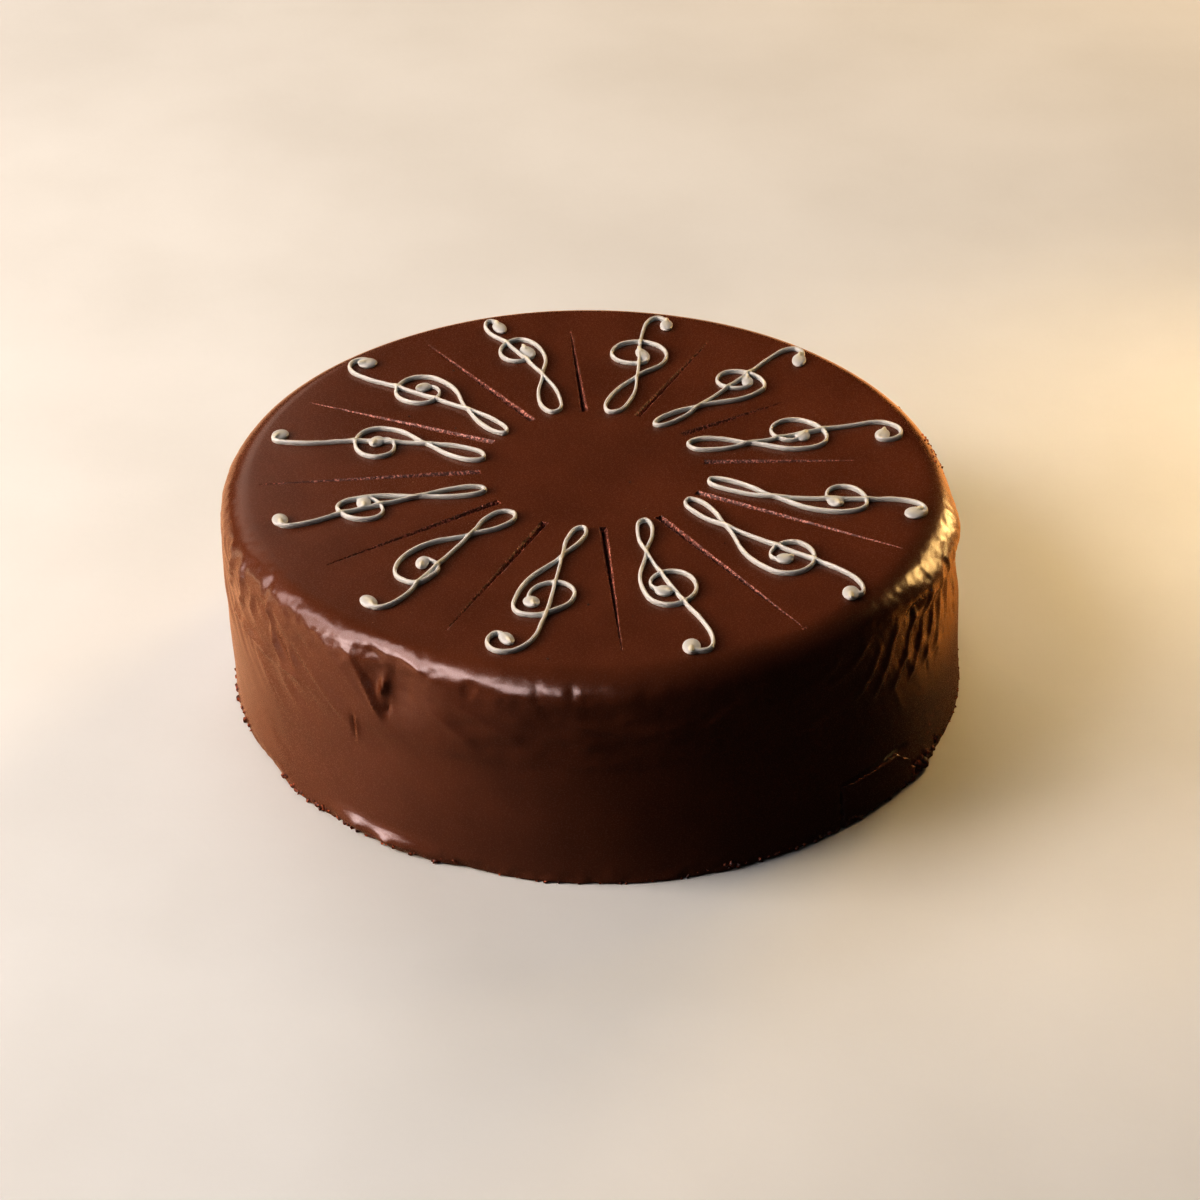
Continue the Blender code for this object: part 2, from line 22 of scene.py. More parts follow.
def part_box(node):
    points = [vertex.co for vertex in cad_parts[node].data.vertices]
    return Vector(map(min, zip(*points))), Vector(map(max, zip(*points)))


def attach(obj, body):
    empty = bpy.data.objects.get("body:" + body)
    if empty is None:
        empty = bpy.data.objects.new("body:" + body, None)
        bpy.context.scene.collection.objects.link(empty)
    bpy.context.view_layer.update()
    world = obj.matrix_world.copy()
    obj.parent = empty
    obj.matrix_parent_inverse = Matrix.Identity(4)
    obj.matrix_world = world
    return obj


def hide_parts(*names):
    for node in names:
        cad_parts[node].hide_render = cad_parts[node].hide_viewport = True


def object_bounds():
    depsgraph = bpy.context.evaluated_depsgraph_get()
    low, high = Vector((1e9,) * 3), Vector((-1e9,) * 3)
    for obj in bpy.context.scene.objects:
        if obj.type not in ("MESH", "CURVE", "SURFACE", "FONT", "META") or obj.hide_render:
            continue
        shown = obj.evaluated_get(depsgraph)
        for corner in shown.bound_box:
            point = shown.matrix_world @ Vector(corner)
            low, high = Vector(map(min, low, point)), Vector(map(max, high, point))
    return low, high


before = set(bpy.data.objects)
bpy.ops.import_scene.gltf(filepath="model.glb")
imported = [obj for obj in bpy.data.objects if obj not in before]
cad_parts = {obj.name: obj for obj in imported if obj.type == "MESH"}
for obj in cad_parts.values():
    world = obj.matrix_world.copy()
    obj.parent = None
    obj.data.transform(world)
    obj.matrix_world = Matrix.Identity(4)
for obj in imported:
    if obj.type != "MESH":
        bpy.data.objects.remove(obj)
CAD_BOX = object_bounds()

log = logging.getLogger("torte")

Array = np.ndarray
Object = bpy.types.Object
Material = bpy.types.Material
Tree = bpy.types.NodeTree
Node = bpy.types.Node
Wire = bpy.types.NodeSocket
Colour = tuple[float, float, float]
Spot = tuple[float, float]

MM = 0.001
BODY = "root"
TORTE_NODE = "glazed_torte"
CLEF_NODE = "treble_clef_{:02d}"
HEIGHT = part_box(TORTE_NODE)[1].z
WALL_RADIUS_MM = 128.0
WALL_MM_PER_DEGREE = math.radians(1.0) * WALL_RADIUS_MM
DECORATION_CENTRE = (-0.0018, 0.0018)


class Slot(Enum):
    """The material slots of the part."""

    GLAZE = "chocolate_glaze"
    ICING = "white_icing"


# ---------------------------------------------------------------- small helpers


def angle_between(azimuth: Array, other: float) -> Array:
    """The differences of azimuths from another one, from -180 to 180 degrees."""
    return (azimuth - other + 180.0) % 360.0 - 180.0


def ease(value: Array, low: float, high: float) -> Array:
    """Zero below low, one above high, and a smooth rise between them."""
    share = np.clip((value - low) / (high - low), 0.0, 1.0)
    return share * share * (3.0 - 2.0 * share)


def unit(vector: Array) -> Array:
    """The vector at length one."""
    return vector / np.linalg.norm(vector)


def add_object(name: str, data: bpy.types.ID) -> Object:
    """Make an object of a mesh, light or camera, and link it to the scene.

    Args:
        name: The object's name.
        data: The mesh, light or camera.

    Returns:
        The object.
    """
    item = bpy.data.objects.new(name, data)
    bpy.context.scene.collection.objects.link(item)
    return item


def new_piece(name: str, points: Array, faces: Sequence, edges: Sequence = ()) -> Object:
    """Make a mesh object.

    Args:
        name: The object's name.
        points: Its points, one row each.
        faces: The point numbers of each face.
        edges: The point numbers of each edge that no face has.

    Returns:
        The object.
    """
    mesh = bpy.data.meshes.new(name)
    mesh.from_pydata(np.asarray(points).tolist(), list(edges), [list(face) for face in faces])
    mesh.validate()
    return add_object(name, mesh)


def piece_of(name: str, bm: bmesh.types.BMesh) -> Object:
    """Turn a bmesh into a mesh object and free it.

    Args:
        name: The object's name.
        bm: The bmesh.

    Returns:
        The object.
    """
    mesh = bpy.data.meshes.new(name)
    bm.to_mesh(mesh)
    bm.free()
    return add_object(name, mesh)


def ring_faces(rows: int, columns: int) -> list:
    """Quads between closed rings of points.

    Args:
        rows: How many rings there are.
        columns: How many points each ring has.

    Returns:
        The faces, for points listed ring after ring.
    """
    row, column = np.mgrid[0 : rows - 1, 0:columns]
    after = (column + 1) % columns
    corners = (row * columns + column, row * columns + after)
    corners += ((row + 1) * columns + after, (row + 1) * columns + column)
    return np.stack(corners, axis=-1).reshape(-1, 4).tolist()


def bake_modifiers(piece: Object) -> None:
    """Turn what the modifiers of a piece make into its own plain mesh."""
    graph = bpy.context.evaluated_depsgraph_get()
    mesh = bpy.data.meshes.new_from_object(piece.evaluated_get(graph))
    piece.modifiers.clear()
    piece.data = mesh


def join(name: str, pieces: Sequence[Object]) -> Object:
    """Join mesh objects into one and remove them.

    Args:
        name: The new object's name.
        pieces: The objects to join.

    Returns:
        The joined object, with the separate shells still separate.
    """
    bm = bmesh.new()
    for piece in pieces:
        bm.from_mesh(piece.data)
        bpy.data.objects.remove(piece)
    return piece_of(name, bm)


def read_vectors(items: bpy.types.bpy_prop_collection, name: str) -> Array:
    """Read a vector of each vertex or face of a mesh.

    Args:
        items: The vertices or faces.
        name: The vector's name.

    Returns:
        The vectors, one row each.
    """
    values = np.empty(len(items) * 3, np.float32)
    items.foreach_get(name, values)
    return values.reshape(-1, 3)


def hold_inside(piece: Object, low: Sequence[float], high: Sequence[float]) -> None:
    """Hold a piece's points inside a box.

    Args:
        piece: The piece, whose mesh is changed.
        low: The box's low corner.
        high: Its high corner.
    """
    held = np.clip(read_vectors(piece.data.vertices, "co"), np.array(low), np.array(high))
    piece.data.vertices.foreach_set("co", held.astype(np.float32).reshape(-1))
    piece.data.update()


def lay_on(piece: Object, *finishes: Material) -> None:
    """Give a piece its materials and smooth shading."""
    piece.data.materials.clear()
    for finish in finishes:
        piece.data.materials.append(finish)
    piece.data.shade_smooth()


def declare(piece: Object, replaced: Sequence[str] = ()) -> None:
    """Hand a finished piece over: it rides with the cake.

    Args:
        piece: The piece.
        replaced: The CAD nodes that it stands for.
    """
    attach(piece, BODY)
    if replaced:
        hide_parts(*replaced)
    log.info("%s: %d faces", piece.name, len(piece.data.polygons))


# ---------------------------------------------------------------- node trees


FLOAT = "NodeSocketFloat"
VECTOR = "NodeSocketVector"
COLOUR = "NodeSocketColor"
GEOMETRY = "NodeSocketGeometry"
MATERIAL = "NodeSocketMaterial"
ZERO = (0.0, 0.0, 0.0)
LEVEL = (1.0, 1.0, 0.0)


def socket_type(value: object) -> str:
    """The type of a node group's socket.

    Args:
        value: The type itself, or the socket's first value, which tells it.

    Returns:
        The type.
    """
    if isinstance(value, str):
        return value
    if isinstance(value, tuple):
        return COLOUR if len(value) == 4 else VECTOR
    return "NodeSocketInt" if isinstance(value, int) else FLOAT


class TreeBuilder:
    """Adds nodes to a tree and links them."""

    def __init__(self, tree: Tree) -> None:
        """Work on a tree."""
        self.tree = tree

    @classmethod
    def group(cls, name: str, kind: str, inputs: dict, outputs: dict) -> "TreeBuilder":
        """Start a new node group.

        Args:
            name: The group's name.
            kind: ShaderNodeTree or GeometryNodeTree.
            inputs: Its named inputs, each with a type or a first value.
            outputs: Its named outputs, each with a type.

        Returns:
            A builder for the group's tree.
        """
        tree = bpy.data.node_groups.new(name, kind)
        for way, sockets in (("INPUT", inputs), ("OUTPUT", outputs)):
            for label, value in sockets.items():
                socket = tree.interface.new_socket(name=label, in_out=way, socket_type=socket_type(value))
                if not isinstance(value, str):
                    socket.default_value = value
        builder = cls(tree)
        builder.source = tree.nodes.new("NodeGroupInput").outputs
        builder.result = tree.nodes.new("NodeGroupOutput").inputs
        return builder

    @classmethod
    def modifier(cls, name: str, inputs: dict) -> "TreeBuilder":
        """Start a tree for a modifier, which also takes Geometry and Material and gives Geometry."""
        inputs = {"Geometry": GEOMETRY, **inputs, "Material": MATERIAL}
        return cls.group(name, "GeometryNodeTree", inputs, {"Geometry": GEOMETRY})

    def feed(self, socket: Wire, value: object) -> None:
        """Link a socket to another one, or set its value."""
        if isinstance(value, Wire):
            self.tree.links.new(value, socket)
        else:
            socket.default_value = value

    def add(self, kind: str, settings: Optional[dict] = None, inputs: Optional[dict] = None) -> Node:
        """Add a node.

        Args:
            kind: The node's type.
            settings: Its properties.
            inputs: Its inputs by name or number, each with a value or a socket to link from.

        Returns:
            The node.
        """
        node = self.tree.nodes.new(kind)
        for name, value in (settings or {}).items():
            setattr(node, name, value)
        for key, value in (inputs or {}).items():
            self.feed(node.inputs[key], value)
        return node

    def math(self, operation: str, first: object, second: object = 0.0) -> Wire:
        """The result of a Math node on two values."""
        return self.add("ShaderNodeMath", {"operation": operation}, {0: first, 1: second}).outputs[0]

    def vector(self, operation: str, first: object, second: object = ZERO) -> Wire:
        """The vector result of a Vector Math node on one or two vectors."""
        return self.add("ShaderNodeVectorMath", {"operation": operation}, {0: first, 1: second}).outputs[0]

    def scaled(self, vector: object, factor: object) -> Wire:
        """A vector times a number."""
        inputs = {0: vector, "Scale": factor}
        return self.add("ShaderNodeVectorMath", {"operation": "SCALE"}, inputs).outputs[0]

    def step(self, value: object, low: object, high: object) -> Wire:
        """A smooth step from zero at low to one at high."""
        inputs = {"Value": value, "From Min": low, "From Max": high}
        return self.add("ShaderNodeMapRange", {"interpolation_type": "SMOOTHSTEP"}, inputs).outputs[0]

    def mix(self, share: object, first: object, second: object) -> Wire:
        """A colour between two others."""
        inputs = {0: share, 6: first, 7: second}
        return self.add("ShaderNodeMix", {"data_type": "RGBA"}, inputs).outputs[2]

    def noise(self, vector: object, scale: object, detail: float = 2.0, seed: object = 0.0) -> Wire:
        """A noise pattern from zero to one at a scale in cells a metre."""
        inputs = {"Vector": vector, "W": seed, "Scale": scale, "Detail": detail}
        return self.add("ShaderNodeTexNoise", {"noise_dimensions": "4D"}, inputs).outputs[0]

    def swing(self, pattern: object, reach: object) -> Wire:
        """A noise pattern turned into a swing either way about zero."""
        return self.math("MULTIPLY", self.math("SUBTRACT", pattern, 0.5), reach)

    def axes(self, place: object) -> bpy.types.NodeOutputs:
        """The X, Y and Z of a vector."""
        return self.add("ShaderNodeSeparateXYZ", inputs={0: place}).outputs

    def here(self) -> Wire:
        """The place of a point, in a geometry tree."""
        return self.add("GeometryNodeInputPosition").outputs[0]

    def outward(self, place: object) -> Wire:
        """The level direction away from the cake's axis at a place."""
        return self.vector("NORMALIZE", self.vector("MULTIPLY", place, LEVEL))

    def attribute(self, name: str) -> Wire:
        """A number kept on each point, in a geometry tree."""
        settings = {"data_type": "FLOAT"}
        return self.add("GeometryNodeInputNamedAttribute", settings, {"Name": name}).outputs[0]

    def call(self, tree: Tree, inputs: dict) -> Node:
        """Place a node group in this tree.

        Args:
            tree: The group's tree.
            inputs: Its inputs by name.

        Returns:
            The group's node.
        """
        kind = "GeometryNodeGroup" if tree.bl_idname == "GeometryNodeTree" else "ShaderNodeGroup"
        return self.add(kind, {"node_tree": tree}, inputs)

    def finish_geometry(self, geometry: Wire) -> Tree:
        """End a modifier's tree: realize the instances and set the material from its Material input."""
        real = self.add("GeometryNodeRealizeInstances", inputs={0: geometry}).outputs[0]
        dressed = self.add("GeometryNodeSetMaterial", inputs={0: real, "Material": self.source["Material"]})
        self.feed(self.result["Geometry"], dressed.outputs[0])
        return self.tree


def grow(piece: Object, tree: Tree, values: dict) -> None:
    """Run a Geometry Nodes tree on a piece and keep the result as the piece's plain mesh.

    Args:
        piece: The piece, whose mesh is replaced.
        tree: The tree.
        values: The tree's inputs by name.
    """
    modifier = piece.modifiers.new(tree.name, "NODES")
    modifier.node_group = tree
    for item in tree.interface.items_tree:
        if item.in_out == "INPUT" and item.name in values:
            modifier[item.identifier] = values[item.name]
    bake_modifiers(piece)


# ---------------------------------------------------------------- finishes


def grain_effect(brightest: float = 0.8, fine_seed: float = 1.5, swell_seed: float = 7.5) -> Tree:
    """The fine grain of a surface, as a shader group.

    Args:
        brightest: Where in the fine noise a speckle is whole.
        fine_seed: The seed of the fine grain.
        swell_seed: The seed of the larger unevenness.

    Returns:
        A group that puts out the height of fine grain on soft, larger unevenness, and a speckle mask.
    """
    inputs = {"Vector": VECTOR, "Grain Scale": 2400.0, "Swell Scale": 160.0, "Swell Share": 0.5}
    inputs["Speckle Amount"] = 0.5
    group = TreeBuilder.group("surface_grain", "ShaderNodeTree", inputs, {"Height": FLOAT, "Speckle": FLOAT})
    source = group.source
    fine = group.noise(source["Vector"], source["Grain Scale"], 2.0, fine_seed)
    swell = group.noise(source["Vector"], source["Swell Scale"], 1.0, swell_seed)
    rest = group.math("SUBTRACT", 1.0, source["Swell Share"])
    swollen = group.math("MULTIPLY", swell, source["Swell Share"])
    group.feed(group.result["Height"], group.math("ADD", group.math("MULTIPLY", fine, rest), swollen))
    low = group.math("SUBTRACT", brightest, source["Speckle Amount"])
    group.feed(group.result["Speckle"], group.step(fine, low, brightest))
    return group.tree


def tone_effect() -> Tree:
    """Uneven colour between a dark and a light tone, as a shader group.

    Returns:
        A group that puts out a colour, and the patches that it follows.
    """
    inputs = {"Vector": VECTOR, "Dark": (0.0, 0.0, 0.0, 1.0), "Light": (1.0, 1.0, 1.0, 1.0)}
    inputs.update({"Patch Scale": 40.0, "Balance": 0.5, "Softness": 0.5, "Seed": 0.0})
    group = TreeBuilder.group("uneven_tone", "ShaderNodeTree", inputs, {"Color": COLOUR, "Patches": FLOAT})
    source = group.source
    patches = group.noise(source["Vector"], source["Patch Scale"], 3.0, source["Seed"])
    half = group.math("MULTIPLY", source["Softness"], 0.5)
    low = group.math("SUBTRACT", source["Balance"], half)
    share = group.step(patches, low, group.math("ADD", source["Balance"], half))
    group.feed(group.result["Color"], group.mix(share, source["Dark"], source["Light"]))
    group.feed(group.result["Patches"], share)
    return group.tree


@dataclass(frozen=True)
class Effects:
    """The shader groups that the finishes share."""

    grain: Tree
    tone: Tree


def rgba(colour: Colour) -> tuple[float, float, float, float]:
    """A colour with full alpha."""
    return (*colour, 1.0)


@dataclass(frozen=True)
class Finish:
    """A finish with an uneven tone and a fine grain."""

    name: str
    dark: Colour
    light: Colour
    patch_scale: float
    roughness: Spot
    grain_scale: float
    grain_height: float
    seed: float = 0.0
    balance: float = 0.5
    softness: float = 0.5
    swell_scale: float = 160.0
    swell_share: float = 0.3
    ior: float = 1.46
    subsurface: float = 0.0
    subsurface_reach: float = 2.0 * MM

    def colour(self, tree: TreeBuilder, tone: Node) -> Wire:
        """The base colour, from the uneven tone."""
        return tone.outputs["Color"]

    def material(self, effects: Effects) -> Material:
        """Build the material.

        Args:
            effects: The shared shader groups.

        Returns:
            The material.
        """
        material = bpy.data.materials.new(self.name)
        material.use_nodes = True
        tree = TreeBuilder(material.node_tree)
        shader = material.node_tree.nodes["Principled BSDF"]
        place = tree.add("ShaderNodeTexCoord").outputs["Object"]
        tone = tree.call(effects.tone, {
            "Vector": place,
            "Dark": rgba(self.dark),
            "Light": rgba(self.light),
            "Patch Scale": self.patch_scale,
            "Balance": self.balance,
            "Softness": self.softness,
            "Seed": self.seed,
        })
        grain = tree.call(effects.grain, {
            "Vector": place,
            "Grain Scale": self.grain_scale,
            "Swell Scale": self.swell_scale,
            "Swell Share": self.swell_share,
        })
        low, high = self.roughness
        spread = {"Value": grain.outputs["Speckle"], "To Min": low, "To Max": high}
        bump = {"Height": grain.outputs["Height"], "Strength": 1.0, "Distance": self.grain_height}
        for name, value in {
            "Base Color": self.colour(tree, tone),
            "Roughness": tree.add("ShaderNodeMapRange", inputs=spread).outputs[0],
            "Normal": tree.add("ShaderNodeBump", inputs=bump).outputs[0],
            "IOR": self.ior,
            "Subsurface Weight": self.subsurface,
            "Subsurface Scale": self.subsurface_reach,
            "Subsurface Radius": (1.0, 1.0, 1.0),
        }.items():
            tree.feed(shader.inputs[name], value)
        return material


@dataclass(frozen=True)
class IcingFinish(Finish):
    """Icing that turns creamier where it lies thick."""

    cream: Colour = (0.525, 0.53, 0.43)
    thin: float = HEIGHT + 1.3 * MM
    thick: float = HEIGHT + 2.3 * MM

    def colour(self, tree: TreeBuilder, tone: Node) -> Wire:
        """The base colour: the uneven tone, creamier with the height over the cake's top."""
        place = tree.add("ShaderNodeTexCoord").outputs["Object"]
        share = tree.step(tree.axes(place)["Z"], self.thin, self.thick)
        return tree.mix(share, tone.outputs["Color"], rgba(self.cream))


@dataclass(frozen=True)
class FloorFinish(Finish):
    """A pale floor, with painted light and shade in what the cake picks up from it.

    The camera sees its own colour. Matt light takes a share of it, a painted shade. A reflection takes a
    share that grows from the first of two to the second between the lines called front and back, which run
    slantwise over the floor: painted shade towards the camera and painted light at the back. Both are
    tinted by a painted warm light. Beside the cake, past a place to the right and a place behind, a
    reflection also takes a painted golden pool of light.
    """

    # The shares and tints below are painted shade and painted light on the floor as the cake sees it, not the
    # floor's own colour.
    scattered_share: float = 0.18
    mirrored_shares: Spot = (0.08, 1.24)
    front: float = -0.18
    back: float = 0.15
    slant: float = -0.75
    painted_warm_light: Colour = (1.24, 0.80, 0.52)
    right: Spot = (0.14, 0.175)
    behind: Spot = (-0.08, 0.01)
    painted_golden_pool: Colour = (2.00, 0.92, 0.22)

    def colour(self, tree: TreeBuilder, tone: Node) -> Wire:
        """The base colour: the uneven tone for the camera, and for the cake a share of it painted with light
        and shade.

        Args:
            tree: The material's tree.
            tone: Its uneven tone.

        Returns:
            The colour.
        """
        path = tree.add("ShaderNodeLightPath").outputs
        axes = tree.axes(tree.add("ShaderNodeTexCoord").outputs["Object"])
        depth = tree.math("ADD", axes["Y"], tree.math("MULTIPLY", axes["X"], self.slant))
        low, high = self.mirrored_shares
        bounds = {"From Min": self.front, "From Max": self.back, "To Min": low, "To Max": high}
        mirror = tree.add("ShaderNodeMapRange", inputs={"Value": depth, **bounds}).outputs[0]
        mirrored = tree.math("MULTIPLY", path["Is Glossy Ray"], mirror)
        scattered = tree.math("MULTIPLY", path["Is Diffuse Ray"], self.scattered_share)
        warm = tree.scaled(self.painted_warm_light, tree.math("ADD", mirrored, scattered))
        # A painted golden pool of light beside the cake, seen only in reflections.
        area = tree.math("MULTIPLY", tree.step(axes["X"], *self.right), tree.step(axes["Y"], *self.behind))
        golden_pool_reflection = tree.math("MULTIPLY", path["Is Glossy Ray"], area)
        taken = tree.vector("ADD", warm, tree.scaled(self.painted_golden_pool, golden_pool_reflection))
        share = tree.vector("ADD", taken, path["Is Camera Ray"])
        return tree.vector("MULTIPLY", tone.outputs["Color"], share)


GLAZE = Finish("satin_chocolate_glaze", (0.091, 0.033, 0.0152), (0.117, 0.043, 0.0206), 45.0,
               (0.20, 0.34), 2300.0, 0.00004)
CUT_WALL = Finish("broken_chocolate", (0.08, 0.024, 0.011), (0.54, 0.25, 0.20), 1400.0,
                  (0.35, 0.65), 2600.0, 0.00032, seed=3.0, balance=0.55, softness=0.12)
# Dark crumb whose lighter orange patches are partly the crumb's own colour and partly painted orange glints.
CRUMB_AND_GLINTS = Finish("torn_crumb_and_glints", (0.064, 0.018, 0.008), (0.58, 0.15, 0.045), 700.0,
               (0.45, 0.75), 2600.0, 0.0002, seed=5.0, balance=0.58, softness=0.3)
SPECK = Finish("pale_speck", (0.18, 0.10, 0.06), (0.74, 0.55, 0.38), 90.0,
               (0.5, 0.6), 4000.0, 0.00005, seed=9.0, softness=0.6)
# Painted shade: near-black flecks that stand in for the shade inside small pits of the top.
PIT_SHADE = Finish("painted_pit_shade", (0.012, 0.004, 0.002), (0.030, 0.010, 0.004), 90.0,
             (0.4, 0.6), 3000.0, 0.00005, seed=11.0, softness=0.6)
ICING = IcingFinish("piped_white_icing", (0.43, 0.47, 0.49), (0.495, 0.545, 0.57), 220.0,
                    (0.30, 0.42), 1500.0, 0.00004, seed=12.0, ior=1.45, subsurface=0.85)
FLOOR = FloorFinish("pale_floor", (0.58, 0.65, 0.68), (0.63, 0.71, 0.75), 8.0,
                    (0.55, 0.65), 300.0, 0.00005, seed=20.0)


# ---------------------------------------------------------------- the glazed torte


@dataclass(frozen=True)
class Swelling:
    """A soft bump of the side, or a hollow where its depth is negative."""

    azimuth: float
    height: float
    depth: float
    half_angle: float
    half_height: float

    def rise(self, azimuth: Array, height: Array) -> Array:
        """How far it moves the side out at azimuths and heights."""
        turn = angle_between(azimuth, self.azimuth) / self.half_angle
        climb = (height - self.height) / self.half_height
        return self.depth * np.exp(-turn * turn - climb * climb)


SWELLINGS = (
    # The lump at the right of the rim and the hollow wall under it.
    Swelling(351, 0.0665, 0.0030, 8, 0.0060),
    Swelling(336, 0.0660, 0.0028, 10, 0.0056),
    Swelling(5, 0.056, -0.0014, 28, 0.012),
    Swelling(330, 0.057, -0.0010, 12, 0.008),
    # The fuller side at the left and the right.
    Swelling(184, 0.036, 0.0008, 14, 0.022),
    Swelling(355, 0.038, 0.0013, 14, 0.018),
    # The rim drawn in over the fold.
    Swelling(237.5, 0.0735, -0.0016, 4.5, 0.003),
    # The back of the rim: in at the left, out at the right.
    Swelling(125, 0.072, -0.0014, 16, 0.010),
    Swelling(62, 0.072, 0.0010, 14, 0.010),
    # Glaze that pooled at the foot, and the places where it stopped short.
    Swelling(232, 0.0050, 0.0026, 4, 0.0028),
    Swelling(239, 0.0040, 0.0028, 4, 0.0026),
    Swelling(209, 0.000, -0.0010, 5, 0.003),
    Swelling(228, 0.000, -0.0008, 3, 0.003),
    Swelling(251, 0.000, -0.0012, 6, 0.003),
    Swelling(245, 0.003, 0.0012, 3, 0.003),
    Swelling(222, 0.002, 0.0008, 5, 0.003),
    Swelling(60, 0.004, 0.0012, 8, 0.005),
    Swelling(130, 0.003, 0.0010, 6, 0.004),
)


@dataclass(frozen=True)
class Crease:
    """A ridge along a line of the unrolled side, or a groove where its rise is negative.

    Its places are (azimuth, millimetres up), and its rise, half width and longest taper are in
    millimetres. It runs past its ends by a share of the taper.
    """

    line: tuple[Spot, ...]
    rise: float
    half_width: float
    taper_share: float = 0.4
    longest_taper: float = 5.0
    overrun: float = 0.4

    def lift(self, azimuth: Array, height: Array) -> Array:
        """How far it moves the side out.

        Args:
            azimuth: Azimuths of the places.
            height: Their heights.

        Returns:
            The distances in metres.
        """
        middle = self.line[0][0]
        places = [np.array((angle_between(a, middle) * WALL_MM_PER_DEGREE, up)) for a, up in self.line]
        x = angle_between(azimuth, middle) * WALL_MM_PER_DEGREE
        y = height / MM
        nearest, travelled, passed = math.inf, 0.0, 0.0
        for before, after in zip(places, places[1:]):
            length = np.linalg.norm(after - before)
            ahead = (after - before) / length
            along = np.clip((x - before[0]) * ahead[0] + (y - before[1]) * ahead[1], 0.0, length)
            gap = np.hypot(x - before[0] - along * ahead[0], y - before[1] - along * ahead[1])
            travelled = np.where(gap < nearest, passed + along, travelled)
            nearest = np.minimum(nearest, gap)
            passed += length
        taper = min(self.taper_share * passed, self.longest_taper)
        past = self.overrun * taper
        ends = ease(travelled, -past, taper) * (1.0 - ease(travelled, passed - taper, passed + past))
        return MM * self.rise * ends * np.exp(-((nearest / self.half_width) ** 2))


# Each row is the rise, the half width and the places of a crease.
CREASES = tuple(Crease(places, rise, half_width) for rise, half_width, *places in (
    # The ridge across the left of the side, and the drapes that run down to it.
    (1.20, 1.5, (199, 50.5), (206, 50.8), (211.5, 51.2), (214.8, 48.6)),
    (0.95, 1.4, (216, 50.5), (220, 51), (223, 50)),
    (1.05, 1.7, (198, 75), (200.8, 71), (200.2, 64), (198.6, 56)),
    (1.15, 1.7, (203.5, 75), (205.8, 70), (205.6, 63), (204.2, 57)),
    (0.75, 1.5, (209.6, 70), (209, 60)),
    (1.00, 1.5, (214.2, 73), (215, 66), (216, 58), (218.4, 51.5)),
    (0.65, 1.6, (219.6, 62), (221.8, 52)),
    (-0.60, 2.0, (200, 46.5), (209, 47), (218, 46.5)),
    # The crevice at the lower end of the fold, and the dent beside it.
    (-0.90, 1.1, (239.6, 57.5), (239.5, 53)),
    (-0.55, 0.8, (233.2, 50), (233.3, 43), (233, 36)),
    (0.35, 0.7, (233.9, 50), (234.1, 43), (233.6, 37)),
    # Dents under the rim at the front left.
    (-0.70, 2.6, (252, 71.5), (254.5, 69.5)),
    (0.50, 1.6, (244, 73.5), (246.5, 72.5)),
    (-0.45, 2.0, (263.2, 76), (263.4, 69)),
    (-0.35, 1.6, (268.2, 76), (268.4, 70)),
    (-0.80, 2.2, (212.8, 79), (213, 72)),
    # Smears of the palette knife across the front.
    (0.55, 2.0, (243, 66), (249, 57), (254, 50)),
    (0.60, 2.2, (250, 66), (256, 59), (261, 54)),
    (0.50, 2.2, (258, 64), (266, 57), (272, 54)),
    (0.45, 1.9, (268, 62), (277, 57), (286, 60)),
    (0.50, 1.8, (280, 55), (288, 58), (294, 66)),
    (0.45, 1.5, (291, 60), (298, 67)),
    (-0.70, 0.9, (296.5, 62.5), (298, 60)),
    (0.50, 1.7, (298, 58), (306, 62), (310, 67)),
    (0.55, 1.5, (306, 57), (312, 61), (316.5, 67)),
    (0.45, 1.6, (297, 45.5), (306, 48), (314, 52)),
    (0.60, 1.4, (312, 47.5), (316, 54), (319, 62)),
    # The drapes under the right of the rim.
    (0.70, 1.7, (316, 44), (320.4, 54), (323.4, 66)),
    (0.80, 1.5, (321, 42), (326, 52), (329, 66)),
    (0.85, 1.5, (326, 40), (330.6, 52), (333.4, 68)),
    (0.80, 1.4, (331, 40), (334.8, 52), (337.2, 68)),
    (0.75, 1.5, (335.6, 40), (338.8, 54), (341, 68)),
    (0.60, 1.5, (340.6, 42), (343.4, 56), (344.6, 68)),
    (0.50, 1.5, (346, 36), (348.6, 50), (349.6, 64)),
    (0.40, 1.5, (335, 34), (338, 42)),
    # The hollow behind the roll of the rim, and the breaks of the roll.
    (-2.20, 2.2, (325.6, 65.5), (331, 65)),
    (-0.30, 2.0, (332.4, 75), (332.8, 68)),
    (-0.35, 2.4, (339.2, 75), (339.6, 67)),
    # The cracks round the loose flake, and the lifted lip beside it.
    (-1.50, 0.75, (309, 17), (309.2, 9), (308.6, -2)),
    (-1.40, 0.75, (307.5, 16.9), (317, 17.3), (324.5, 15.8)),
    (1.10, 0.9, (328.6, 8), (330.2, 4.5), (332.4, 0)),
))


